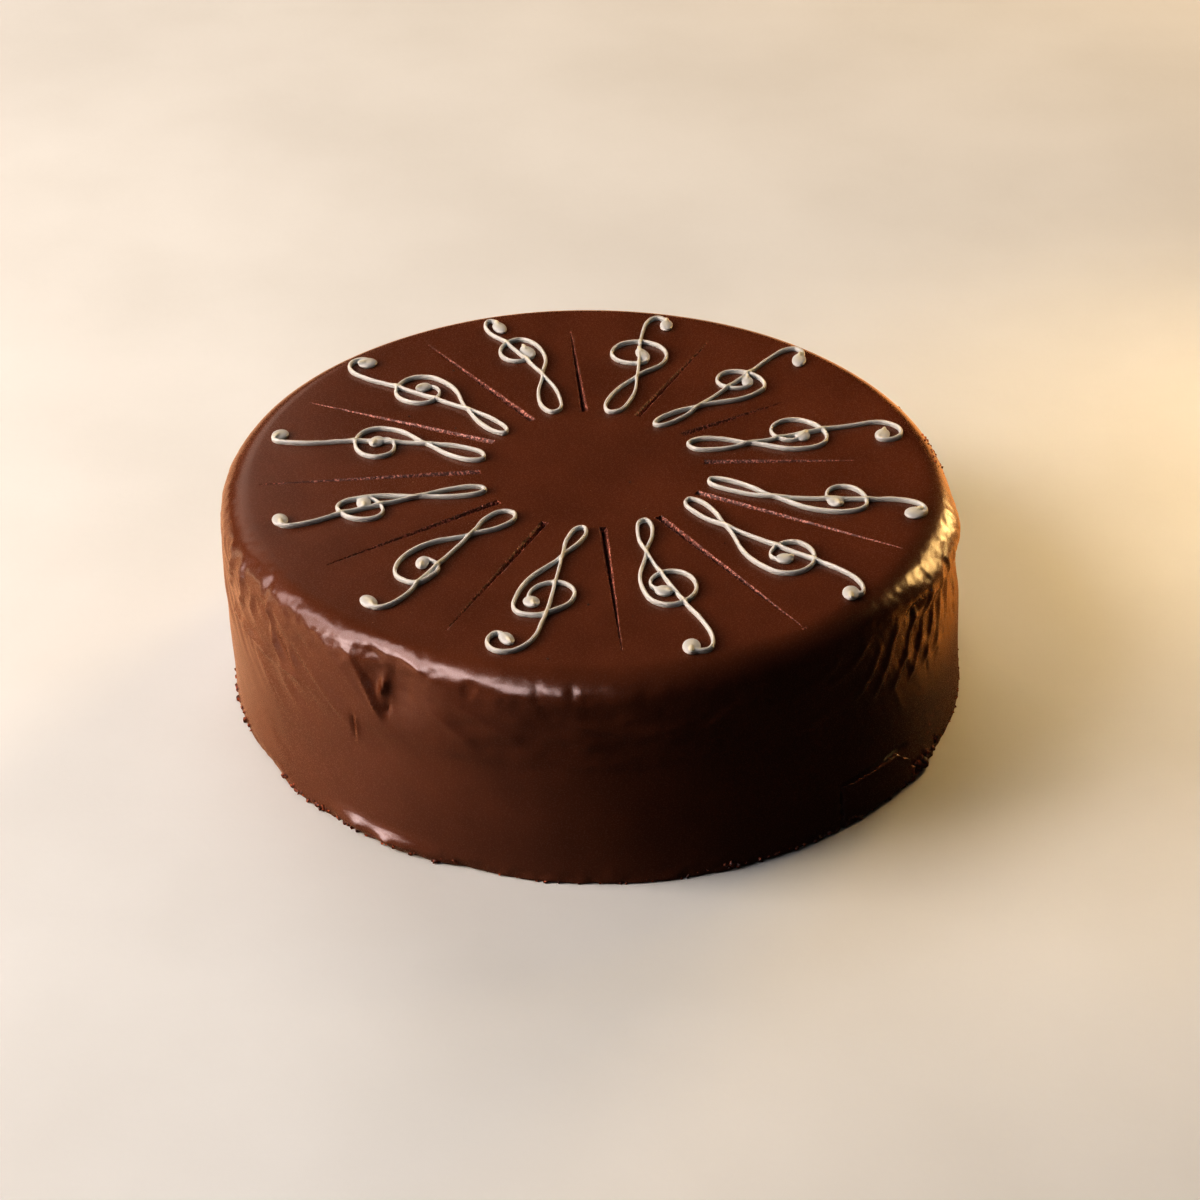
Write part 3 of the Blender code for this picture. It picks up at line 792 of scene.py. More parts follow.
@dataclass(frozen=True)
class Pocket:
    """The hollow under the front left of the rim, where the glaze folded over.

    It deepens evenly from its left edge to its right edge, and steps out again there. The edges are
    given as azimuths at heights in millimetres.
    """

    heights: tuple[float, ...] = (50.0, 53.0, 58.0, 63.0, 69.0, 74.0)
    left: tuple[float, ...] = (238.9, 238.0, 236.6, 235.2, 234.0, 233.6)
    right: tuple[float, ...] = (239.9, 240.4, 241.0, 241.2, 240.8, 240.4)
    depths: tuple[float, ...] = (0.0, 0.8, 2.2, 3.2, 3.0, 0.8)
    steepness: float = 0.5
    step: float = 9.0
    crest: Crease = Crease(((234.6, 67.0), (236.4, 60.0), (238.6, 51.5)), 1.2, 1.1)
    bump: Crease = Crease(((239.3, 66.5), (238.9, 62.0), (238.5, 58.5)), 1.7, 1.5)

    def lift(self, azimuth: Array, height: Array) -> Array:
        """How far it moves the side out.

        Args:
            azimuth: Azimuths of the places.
            height: Their heights.

        Returns:
            The distances in metres.
        """
        rows = (self.left, self.right, self.depths)
        left, right, depth = (np.interp(height / MM, self.heights, row) for row in rows)
        share = (azimuth - left) / (right - left)
        ramp = np.clip(share, 0.0, 1.0) ** self.steepness * (1.0 - ease(azimuth, right, right + self.step))
        return self.crest.lift(azimuth, height) + self.bump.lift(azimuth, height) - MM * depth * ramp


@dataclass(frozen=True)
class TorteSurface:
    """The rule that gives the outside of the torte."""

    foot_radius: float = 0.130
    top_radius: float = 0.1255
    top_axis: Spot = (-0.0044, -0.0003)
    rim_rounding: float = 0.010
    step_height: float = 0.0455
    step_depth: float = 0.0006
    step_softness: float = 0.0022
    pocket: Pocket = Pocket()

    def relief(self, azimuth: Array, height: Array) -> Array:
        """How far the side stands out from a plain cone at azimuths and heights."""
        depth = self.step_depth * np.tanh((height - self.step_height) / self.step_softness) * 0.5
        for swelling in SWELLINGS:
            depth = depth + swelling.rise(azimuth, height)
        for crease in (*CREASES, self.pocket):
            depth = depth + crease.lift(azimuth, height)
        return depth

    def side(self, azimuth: Array, inset: Array, height: Array) -> Array:
        """Points of the side.

        Args:
            azimuth: Their azimuths.
            inset: How far each is set in from the surface.
            height: Their heights.

        Returns:
            The points, one row each.
        """
        azimuth, inset, height = np.broadcast_arrays(azimuth, inset, height)
        rise = height / HEIGHT
        past = np.maximum(0.0, height - (HEIGHT - self.rim_rounding)) / self.rim_rounding
        level = np.sqrt(np.maximum(0.0, 1.0 - past**2))
        radius = self.foot_radius + (self.top_radius - self.foot_radius) * rise - inset
        radius = radius - self.rim_rounding * (1.0 - level) + self.relief(azimuth, height) * level
        turn = np.radians(azimuth)
        across = self.top_axis[0] * rise + radius * np.cos(turn)
        along = self.top_axis[1] * rise + radius * np.sin(turn)
        return np.stack((across, along, height), axis=-1)

    def top(self, x: Array, y: Array) -> Array:
        """Heights of the top, which falls away over the rounded rim, at places."""
        reach = np.hypot(x - self.top_axis[0], y - self.top_axis[1])
        past = np.clip(reach - (self.top_radius - self.rim_rounding), 0.0, self.rim_rounding)
        return HEIGHT - self.rim_rounding + np.sqrt(self.rim_rounding**2 - past**2)


def wave_layer(gain: float = 4.0, detail: float = 1.5) -> Tree:
    """One layer of palette knife waves, as a geometry group.

    Args:
        gain: How much the waves' noise is widened.
        detail: How fine their noise is.

    Returns:
        A group that puts out how far the side stands out at each point.
    """
    inputs = {"Depth": 0.0005, "Spacing": 0.008, "Length": 0.03, "Slant": 0.0, "Facing": (1.0, 0.0, 0.0)}
    inputs.update({"Reach": 0.0, "Low": 0.0, "High": 0.1, "Softness": 0.01, "Seed": 0.0})
    group = TreeBuilder.group("wave_layer", "GeometryNodeTree", inputs, {"Height": FLOAT})
    source = group.source
    place = group.here()
    height = group.axes(place)["Z"]
    turned = {"Vector": place, "Angle": group.math("MULTIPLY", height, source["Slant"])}
    twisted = group.add("ShaderNodeVectorRotate", {"rotation_type": "Z_AXIS"}, turned).outputs[0]
    across = group.math("DIVIDE", 1.0, source["Spacing"])
    upward = group.math("DIVIDE", 1.0, source["Length"])
    cells = group.add("ShaderNodeCombineXYZ", inputs={0: across, 1: across, 2: upward}).outputs[0]
    waves = group.noise(group.vector("MULTIPLY", twisted, cells), 1.0, detail, source["Seed"])
    seen = {0: group.outward(place), 1: source["Facing"]}
    facing = group.add("ShaderNodeVectorMath", {"operation": "DOT_PRODUCT"}, seen).outputs["Value"]
    mask = group.step(facing, source["Reach"], 1.0)
    low = group.step(height, source["Low"], group.math("ADD", source["Low"], source["Softness"]))
    high = group.step(height, group.math("SUBTRACT", source["High"], source["Softness"]), source["High"])
    band = group.math("MULTIPLY", low, group.math("SUBTRACT", 1.0, high))
    depth = group.math("MULTIPLY", group.swing(waves, gain), source["Depth"])
    group.feed(group.result["Height"], group.math("MULTIPLY", depth, group.math("MULTIPLY", mask, band)))
    return group.tree


class Waves(NamedTuple):
    """A layer of waves: where on the side it lies, and how its waves run.

    The azimuth is its middle and the half angle its reach. Slant is in radians a metre.
    """

    name: str
    azimuth: float
    half_angle: float
    spacing: float
    length: float
    slant: float
    low: float
    high: float
    softness: float
    depth: float


WAVE_LAYERS = (
    Waves("Drape Depth", 348, 50, 0.0050, 0.034, 3.0, 0.024, 0.077, 0.020, 0.00040),
    Waves("Curl Depth", 208, 46, 0.0085, 0.024, 9.0, 0.030, 0.077, 0.014, 0.00070),
    Waves("Smear Depth", 280, 60, 0.0110, 0.006, 0.0, 0.036, 0.076, 0.012, 0.00028),
    Waves("Back Depth", 95, 110, 0.0085, 0.020, -7.0, 0.028, 0.077, 0.014, 0.00045),
    Waves("Broad Depth", 250, 180, 0.0300, 0.022, 5.0, 0.004, 0.078, 0.010, 0.00035),
    Waves("Rim Depth", 250, 180, 0.0090, 0.0090, 0.0, 0.060, 0.0785, 0.004, 0.00022),
    Waves("Ripple Depth", 222, 60, 0.0038, 0.0030, 0.0, 0.066, 0.0795, 0.002, 0.00027),
    Waves("Roll Depth", 336, 30, 0.0032, 0.0030, 0.0, 0.064, 0.0795, 0.002, 0.00018),
    Waves("Foot Depth", 270, 180, 0.0060, 0.004, 0.0, -0.010, 0.009, 0.009, 0.00060),
)


def knife_marks(seed_step: float = 3.7, dip_scale: float = 38.0) -> Tree:
    """The tree that moves the side in and out by layers of palette knife waves, and dips the top.

    Args:
        seed_step: How far apart the layers' seeds are.
        dip_scale: How many dips of the top there are to a metre.

    Returns:
        The geometry tree.
    """
    inputs = {layer.name: layer.depth for layer in WAVE_LAYERS}
    builder = TreeBuilder.modifier("knife_marks", {**inputs, "Top Dip": 0.0001, "Seed": 0.0})
    seed = builder.source["Seed"]
    layer_tree = wave_layer()
    total = 0.0
    for number, layer in enumerate(WAVE_LAYERS):
        turn = math.radians(layer.azimuth)
        node = builder.call(layer_tree, {
            "Depth": builder.source[layer.name],
            "Spacing": layer.spacing,
            "Length": layer.length,
            "Slant": layer.slant,
            "Facing": (math.cos(turn), math.sin(turn), 0.0),
            "Reach": math.cos(math.radians(layer.half_angle)),
            "Low": layer.low,
            "High": layer.high,
            "Softness": layer.softness,
            "Seed": builder.math("ADD", seed, seed_step * number),
        })
        total = builder.math("ADD", total, node.outputs["Height"])
    place = builder.here()
    dips = builder.math("MULTIPLY", builder.noise(place, dip_scale, 0.0, seed), builder.source["Top Dip"])
    top = builder.step(builder.axes(place)["Z"], HEIGHT - 0.3 * MM, HEIGHT - 0.1 * MM)
    sunk = builder.scaled((0.0, 0.0, -1.0), builder.math("MULTIPLY", dips, top))
    offset = builder.vector("ADD", builder.scaled(builder.outward(place), total), sunk)
    moved = builder.add("GeometryNodeSetPosition", inputs={0: builder.source["Geometry"], "Offset": offset})
    return builder.finish_geometry(moved.outputs[0])


class Cut(NamedTuple):
    """A slice mark, by the azimuths of its two ends and how far out it runs."""

    inner_azimuth: float
    outer_azimuth: float
    reach: float


CUTS = (
    Cut(94.7, 95.0, 0.0998),
    Cut(123.5, 124.8, 0.1079),
    Cut(153.8, 156.1, 0.1117),
    Cut(184.4, 185.7, 0.1150),
    Cut(215.2, 215.4, 0.1072),
    Cut(245.9, 245.1, 0.1106),
    Cut(275.0, 274.8, 0.1113),
    Cut(304.7, 304.3, 0.1180),
    Cut(335.1, 333.2, 0.1150),
    Cut(5.5, 3.0, 0.0912),
    Cut(35.7, 33.6, 0.0814),
    Cut(66.1, 64.7, 0.1013),
)


class CutStation(NamedTuple):
    """A cross-section of a slice mark: its middle on the top, crosswise direction, half width and depth."""

    middle: Vector
    crosswise: Vector
    half_width: float
    depth: float


@dataclass(frozen=True)
class SliceMarks:
    """The V-shaped slice marks, wide and deep at the middle and running out to nothing."""

    centre: Spot = DECORATION_CENTRE
    inner_radius: float = 0.0389
    half_width: float = 0.00145
    depth: float = 0.0042
    end_half_width: float = 0.0003
    end_depth: float = 0.0004
    clearance: float = 0.001
    spacing: float = 0.0005
    roughness: float = 0.00026
    least_roughness: float = 0.35
    fine_cells: float = 1600.0
    coarse_cells: float = 520.0
    coarse_share: float = 0.6
    taper: float = 1.5
    hollowness: float = 2.0
    across: tuple[float, ...] = (-1.25, -1.0, -0.72, -0.45, -0.2, 0.0, 0.2, 0.45, 0.72, 1.0, 1.25)

    def station(self, cut: Cut, share: float) -> CutStation:
        """The cross-section of a cut at a share of its length."""
        ends = []
        for azimuth, radius in ((cut.inner_azimuth, self.inner_radius), (cut.outer_azimuth, cut.reach)):
            turn = math.radians(azimuth)
            ends.append(Vector((math.cos(turn), math.sin(turn), 0.0)) * radius)
        middle = ends[0].lerp(ends[1], share) + Vector((*self.centre, HEIGHT))
        along = (ends[1] - ends[0]).normalized()
        left = 1.0 - share**self.taper
        width = self.end_half_width + (self.half_width - self.end_half_width) * left
        depth = self.end_depth + (self.depth - self.end_depth) * left
        return CutStation(middle, Vector((-along.y, along.x, 0.0)), width, depth)

    def blade(self, number: int, cut: Cut) -> Object:
        """Make the rough-sided wedge that cuts one mark.

        Args:
            number: The cut's number.
            cut: The cut.

        Returns:
            The wedge.
        """
        corners = len(self.across)
        count = round((cut.reach - self.inner_radius) / self.spacing)
        least = self.least_roughness
        points = []
        for index in range(count + 1):
            station = self.station(cut, index / count)
            rough = self.roughness * (least + (1.0 - least) * station.half_width / self.half_width)
            for share in self.across:
                drop = -station.depth * (1.0 - abs(share)) ** self.hollowness
                if abs(share) > 1.0:
                    drop = self.clearance
                side = station.crosswise * share * station.half_width
                spot = station.middle + side + Vector((0.0, 0.0, drop))
                coarse = self.coarse_share * noise.noise_vector(spot * self.coarse_cells)
                points.append(spot + (noise.noise_vector(spot * self.fine_cells) + coarse) * rough)
        faces = ring_faces(count + 1, corners)
        faces.append(list(range(corners)))
        faces.append([count * corners + corner for corner in reversed(range(corners))])
        blade = new_piece(f"blade_{number:02d}", np.array(points), faces)
        bm = bmesh.new()
        bm.from_mesh(blade.data)
        bmesh.ops.recalc_face_normals(bm, faces=bm.faces)
        bm.to_mesh(blade.data)
        bm.free()
        return blade

    def blades(self) -> Object:
        """The wedges of all the marks, as one object."""
        return join("blades", [self.blade(number, cut) for number, cut in enumerate(CUTS)])


@dataclass
class GlazedTorte:
    """The glazed body of the torte, with its slice marks."""

    surface: TorteSurface
    marks: SliceMarks
    front_step: float = 0.40
    back_step: float = 0.75
    foot_rounding: float = 0.0012
    foot_steps: int = 4
    wall_spacing: float = 0.00095
    rim_steps: int = 22
    top_insets: tuple[float, ...] = (
        0.003, 0.008, 0.015, 0.024, 0.034, 0.045, 0.056, 0.068, 0.080, 0.092, 0.104,
    )
    top_dip: float = 0.00012
    crease_angle: float = 32.0
    seed: float = 4.0
    lining_margin: float = 0.6 * MM
    lining_sink: float = 0.4 * MM
    lining_depth: float = 6.0 * MM
    lining_lean: float = 0.96

    def columns(self) -> Array:
        """Azimuths of the body's columns, closer together on the shown side."""
        back, front = np.arange(0.0, 180.0, self.back_step), np.arange(180.0, 360.0, self.front_step)
        return np.concatenate([back, front])

    def rows(self) -> list[Spot]:
        """Rows of (inset from the surface, height) from the base to the middle of the top."""
        foot, rim = self.foot_rounding, HEIGHT - self.surface.rim_rounding
        rows = []
        for turn in np.linspace(0.0, math.pi / 2, self.foot_steps):
            rows.append((foot * (1.0 - math.sin(turn)), foot * (1.0 - math.cos(turn))))
        count = round((rim - foot) / self.wall_spacing)
        rows += [(0.0, height) for height in np.linspace(foot, rim, count + 1)[1:]]
        for turn in np.linspace(0.0, math.pi / 2, self.rim_steps + 1)[1:]:
            rows.append((0.0, rim + self.surface.rim_rounding * math.sin(turn)))
        return rows + [(inset, HEIGHT) for inset in self.top_insets]

    def build(self) -> Object:
        """Build the closed body.

        Returns:
            The body, without the slice marks.
        """
        columns, rows = self.columns(), self.rows()
        insets, heights = np.array(rows).T
        points = self.surface.side(columns[None, :], insets[:, None], heights[:, None]).reshape(-1, 3)
        middle = np.array([[*self.surface.top_axis, HEIGHT]])
        faces = ring_faces(len(rows), len(columns))
        last = (len(rows) - 1) * len(columns)
        for side in range(len(columns)):
            faces.append((last + side, last + (side + 1) % len(columns), last + len(columns)))
        faces.append(list(reversed(range(len(columns)))))
        return new_piece("chocolate_glaze_body", np.concatenate([points, middle]), faces)

    def cut(self, body: Object) -> None:
        """Cut the slice marks with the rough-sided wedges."""
        blades = self.marks.blades()
        modifier = body.modifiers.new("Marks", "BOOLEAN")
        modifier.operation = "DIFFERENCE"
        modifier.object = blades
        modifier.solver = "MANIFOLD"
        bake_modifiers(body)
        bpy.data.objects.remove(blades)

    def find_cut_faces(self, body: Object) -> Array:
        """Which faces line the slice marks.

        Args:
            body: The cut body.

        Returns:
            One flag for each face.
        """
        centres = read_vectors(body.data.polygons, "center")
        normals = read_vectors(body.data.polygons, "normal")
        sunken = (normals[:, 2] < self.lining_lean) | (centres[:, 2] < HEIGHT - self.lining_sink)
        lining = np.zeros(len(centres), bool)
        for cut in CUTS:
            start, stop = self.marks.station(cut, 0.0), self.marks.station(cut, 1.0)
            offset = centres[:, :2] - np.array(start.middle)[:2]
            aside = np.abs(offset @ np.array(start.crosswise)[:2])
            along = offset @ np.array((stop.middle - start.middle).normalized())[:2]
            length = (stop.middle - start.middle).length
            near = (along > -MM) & (along < length + MM) & (aside < start.half_width + self.lining_margin)
            lining |= near & sunken
        return lining & (centres[:, 2] > HEIGHT - self.lining_depth)

    def dress(self, body: Object, glaze: Material, broken: Material) -> None:
        """Wave the glaze, cut the marks, lay the finishes on the body and hand it over."""
        grow(body, knife_marks(), {"Seed": self.seed, "Material": glaze, "Top Dip": self.top_dip})
        self.cut(body)
        lay_on(body, glaze, broken)
        body.data.polygons.foreach_set("material_index", self.find_cut_faces(body).astype(np.int32))
        body.data.set_sharp_from_angle(angle=math.radians(self.crease_angle))
        hold_inside(body, *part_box(TORTE_NODE))
        declare(body, [TORTE_NODE])


# ---------------------------------------------------------------- the piped clefs


class Drop(NamedTuple):
    """The drop at an end of a bead: its middle, half length, half width and lean from the slice."""

    across: float
    out: float
    half_length: float
    half_width: float
    lean: float


class Clef(NamedTuple):
    """A treble clef by the places where its line turns."""

    dot: Drop
    ring_left: Spot
    ring_top: Spot
    ring_right: Spot
    bowl_bottom: Spot
    bowl_left: Spot
    waist: Spot
    tip: Spot
    loop_half_width: float
    foot: Spot
    tail: Spot
    hook: Spot
    turn: Spot
    end: Drop
    crest: Optional[Spot] = None


CLEFS = (
    Clef(Drop(-4.9, 85.5, 4.4, 2.6, 8), (-6.3, 83.0), (-0.1, 79.6), (5.2, 85.7), (-4.2, 95.4),
         (-10.1, 84.5), (-4.4, 67.0), (0.7, 39.8), 3.8, (0.5, 94.8), (4.1, 107.0), (1.2, 112.8),
         (-1.2, 109.0), Drop(-0.9, 106.8, 4.4, 2.6, 0)),
    Clef(Drop(-2.4, 82.7, 3.2, 2.6, 80), (-5.1, 79.2), (2.7, 73.5), (9.2, 81.9), (-1.5, 91.0),
         (-10.1, 81.9), (-0.8, 59.5), (2.7, 38.2), 2.8, (3.7, 90.4), (6.5, 107.3), (0.6, 115.3),
         (-3.8, 111.8), Drop(-2.4, 110.8, 3.7, 3.3, 60)),
    Clef(Drop(-2.9, 77.7, 3.5, 2.7, 80), (-5.0, 74.2), (1.7, 70.5), (7.7, 76.7), (-3.3, 85.1),
         (-11.9, 77.0), (-4.2, 60.0), (1.6, 38.2), 3.7, (-1.8, 84.8), (3.5, 110.7), (0.5, 114.3),
         (-2.5, 112.7), Drop(-1.4, 112.3, 3.4, 3.0, 70)),
    Clef(Drop(-3.2, 81.3, 3.4, 2.6, 75), (-5.5, 79.2), (1.6, 76.2), (7.4, 81.6), (-2.6, 90.7),
         (-6.6, 84.5), (-0.9, 62.5), (2.2, 39.8), 2.8, (0.7, 90.3), (2.8, 105.7), (0.0, 111.5),
         (-3.0, 110.4), Drop(-2.4, 110.7, 3.9, 2.8, 85)),
    Clef(Drop(-2.9, 83.0, 3.7, 2.3, 35), (-4.6, 81.4), (-0.7, 80.1), (4.8, 85.7), (-1.5, 94.7),
         (-10.2, 81.2), (-2.3, 60.0), (-0.8, 40.7), 4.0, (4.3, 92.5), (6.5, 105.0), (2.6, 112.3),
         (-0.6, 111.2), Drop(-0.3, 110.9, 3.9, 2.7, 70)),
    Clef(Drop(-4.3, 86.7, 3.1, 2.8, 30), (-5.9, 83.0), (2.5, 74.2), (8.7, 80.8), (-5.0, 94.3),
         (-9.8, 88.0), (0.5, 58.0), (4.0, 40.0), 2.5, (1.8, 92.4), (1.2, 101.0), (-8.3, 116.0),
         (-13.6, 110.2), Drop(-7.9, 108.4, 3.7, 2.4, 35), (-10.9, 106.2)),
    Clef(Drop(-4.8, 81.5, 3.1, 2.9, 40), (-7.5, 77.3), (-0.1, 71.2), (6.7, 79.0), (-4.2, 90.1),
         (-10.9, 82.3), (-2.0, 58.0), (4.4, 39.2), 2.5, (-0.9, 89.4), (0.8, 106.5), (-4.2, 117.4),
         (-8.8, 113.8), Drop(-7.8, 113.8, 4.2, 3.0, -25)),
    Clef(Drop(-4.4, 86.4, 3.1, 2.8, 50), (-6.5, 83.4), (-0.2, 79.7), (6.6, 85.7), (-4.0, 95.7),
         (-12.8, 87.3), (-1.1, 59.5), (3.8, 39.0), 3.0, (1.4, 94.8), (2.0, 104.5), (-4.6, 117.6),
         (-8.4, 114.9), Drop(-6.8, 115.0, 4.0, 2.9, -55)),
    Clef(Drop(-8.3, 85.3, 3.3, 3.0, -60), (-7.9, 83.6), (-3.7, 81.7), (1.7, 87.3), (-8.3, 95.9),
         (-15.2, 84.3), (-9.2, 64.8), (-2.3, 41.0), 2.8, (-5.4, 95.6), (-3.6, 107.0), (-8.6, 116.0),
         (-12.2, 112.3), Drop(-11.0, 112.3, 3.7, 3.4, 50)),
    Clef(Drop(-6.0, 76.5, 3.1, 2.6, 45), (-7.3, 72.6), (-0.5, 67.1), (6.2, 74.9), (-6.3, 84.9),
         (-14.3, 77.0), (-4.3, 57.3), (2.2, 36.3), 3.9, (-4.2, 84.8), (-5.2, 101.0), (-13.0, 110.7),
         (-18.6, 105.5), Drop(-14.5, 103.3, 3.8, 2.7, 52), (-16.2, 101.0)),
    Clef(Drop(-4.5, 81.8, 3.8, 2.2, 38), (-6.5, 79.2), (0.6, 73.4), (6.0, 79.6), (-3.2, 87.0),
         (-12.4, 79.8), (-2.3, 56.5), (1.3, 35.8), 2.5, (-1.1, 87.2), (-0.1, 105.0), (-4.0, 113.0),
         (-8.4, 109.5), Drop(-9.2, 106.8, 4.7, 2.7, 32)),
    Clef(Drop(-3.9, 81.8, 5.0, 2.4, 30), (-6.2, 77.6), (0.0, 74.6), (7.7, 81.9), (-2.5, 91.3),
         (-12.9, 80.9), (-4.6, 65.3), (0.6, 37.8), 3.8, (-1.5, 91.0), (-1.0, 103.5), (-5.0, 111.0),
         (-8.6, 107.5), Drop(-8.9, 106.0, 4.1, 2.5, 5)),
)

Mark = tuple[Spot, Optional[Array]]
UP, DOWN = np.array((0.0, -1.0)), np.array((0.0, 1.0))
LEFT, RIGHT = np.array((-1.0, 0.0)), np.array((1.0, 0.0))


@dataclass(frozen=True)
class ClefLine:
    """The rule that draws a clef's line through its turning places."""

    quarter_round: float = 0.5523
    easy_handle: float = 0.36
    least_handle: float = 0.2
    loop_widest: float = 0.28
    bowl_through_foot: float = 5.5
    point_spacing: float = 0.4

    def strokes(self, clef: Clef) -> list[list[Mark]]:
        """The line as three strokes.

        Args:
            clef: The clef.

        Returns:
            The strokes, as (place, direction of travel), with None for an easy turn.
        """
        tip, waist = np.array(clef.tip), np.array(clef.waist)
        axis = unit(waist - tip)
        across = np.array((axis[1], -axis[0])) * clef.loop_half_width
        widest = tip + self.loop_widest * (waist - tip)
        ring = [(clef.dot[:2], None), (clef.ring_left, UP), (clef.ring_top, RIGHT), (clef.ring_right, DOWN)]
        if clef.foot[0] - clef.bowl_bottom[0] > self.bowl_through_foot:
            ring.append((clef.foot, None))
        bowl = [(clef.bowl_bottom, LEFT), (clef.bowl_left, UP), (waist, None)]
        bowl += [(widest + across, -axis), (tip, LEFT)]
        stem = [(tip, LEFT), (widest - across, axis), (waist, None), (clef.foot, None)]
        stem += [(clef.tail, DOWN), (clef.hook, LEFT), (clef.turn, UP)]
        if clef.crest:
            stem.append((clef.crest, RIGHT))
        return [ring + bowl[:1], bowl, [*stem, (clef.end[:2], None)]]

    def points(self, marks: list[Mark]) -> Array:
        """Points along a stroke.

        Args:
            marks: The stroke's places and directions.

        Returns:
            Points close together: quarter rounds between its extremes, joined by easy curves.
        """
        places = [np.array(place, dtype=float) for place, _ in marks]
        headings = []
        for index, (_, heading) in enumerate(marks):
            if heading is None:
                ahead = places[min(index + 1, len(places) - 1)]
                heading = unit(ahead - places[max(index - 1, 0)])
            headings.append(heading)
        points = []
        for index, (start, stop) in enumerate(zip(places, places[1:])):
            reach = np.linalg.norm(stop - start)
            handles = []
            for end in (index, index + 1):
                rounded = self.quarter_round * abs((stop - start) @ headings[end])
                rounded = max(rounded, self.least_handle * reach)
                handles.append(self.easy_handle * reach if marks[end][1] is None else rounded)
            near = start + headings[index] * handles[0]
            far = stop - headings[index + 1] * handles[1]
            steps = max(2, math.ceil(reach / self.point_spacing))
            t = np.arange(steps)[:, None] / steps
            rest = 1.0 - t
            points.append(rest**3 * start + 3 * rest**2 * t * near + 3 * rest * t**2 * far + t**3 * stop)
        return np.concatenate([*points, places[-1][None, :]])


@dataclass(frozen=True)
class BeadSize:
    """How thick a stroke's bead is along its length, as a share of the usual thickness.

    From its start it swells between two shares of its length, and it thins about one place.
    """

    start: float
    swell: float
    swells: Spot
    thinning: float
    thinnest: float
    thin_reach: float

    def along(self, share: Array) -> Array:
        """The thickness at shares of the stroke's length."""
        thinner = self.thinning * np.exp(-(((share - self.thinnest) / self.thin_reach) ** 2))
        return self.start - thinner + self.swell * ease(share, *self.swells)


BEAD_SIZES = (
    BeadSize(0.86, 0.18, (0.1, 0.7), 0.0, 0.5, 1.0),
    BeadSize(1.04, 0.0, (0.0, 1.0), 0.16, 0.62, 0.12),
    BeadSize(0.96, 0.12, (0.7, 0.9), 0.10, 0.3, 0.1),
)


def bead_tree() -> Tree:
    """The tree that pipes a bead of icing along a chain of edges.

    Returns:
        The geometry tree.
    """
    inputs = {"Step": 0.0004, "Half Width": 0.0012, "Half Height": 0.001, "Sides": 14}
    builder = TreeBuilder.modifier("piped_bead", {**inputs, "Waver": 0.1, "Waver Scale": 200.0, "Seed": 0.0})
    source = builder.source
    line = builder.add("GeometryNodeMeshToCurve", inputs={0: source["Geometry"]}).outputs[0]
    spaced = {0: line, "Length": source["Step"]}
    line = builder.add("GeometryNodeResampleCurve", {"mode": "LENGTH"}, spaced).outputs[0]
    line = builder.add("GeometryNodeSetCurveNormal", {"mode": "Z_UP"}, {0: line}).outputs[0]
    pattern = builder.noise(builder.here(), source["Waver Scale"], 1.0, source["Seed"])
    waver = builder.math("ADD", 1.0, builder.swing(pattern, builder.math("MULTIPLY", source["Waver"], 4.0)))
    ring = {"Resolution": source["Sides"], "Radius": 1.0}
    circle = builder.add("GeometryNodeCurvePrimitiveCircle", inputs=ring)
    halves = {0: source["Half Width"], 1: source["Half Height"], 2: 1.0}
    shape = builder.add("ShaderNodeCombineXYZ", inputs=halves)
    profile = builder.add("GeometryNodeTransform", inputs={0: circle.outputs[0], "Scale": shape.outputs[0]})
    swept = builder.add("GeometryNodeCurveToMesh", inputs={
        "Curve": line,
        "Profile Curve": profile.outputs[0],
        "Scale": builder.math("MULTIPLY", builder.attribute("bead_size"), waver),
        "Fill Caps": True,
    })
    return builder.finish_geometry(swept.outputs[0])


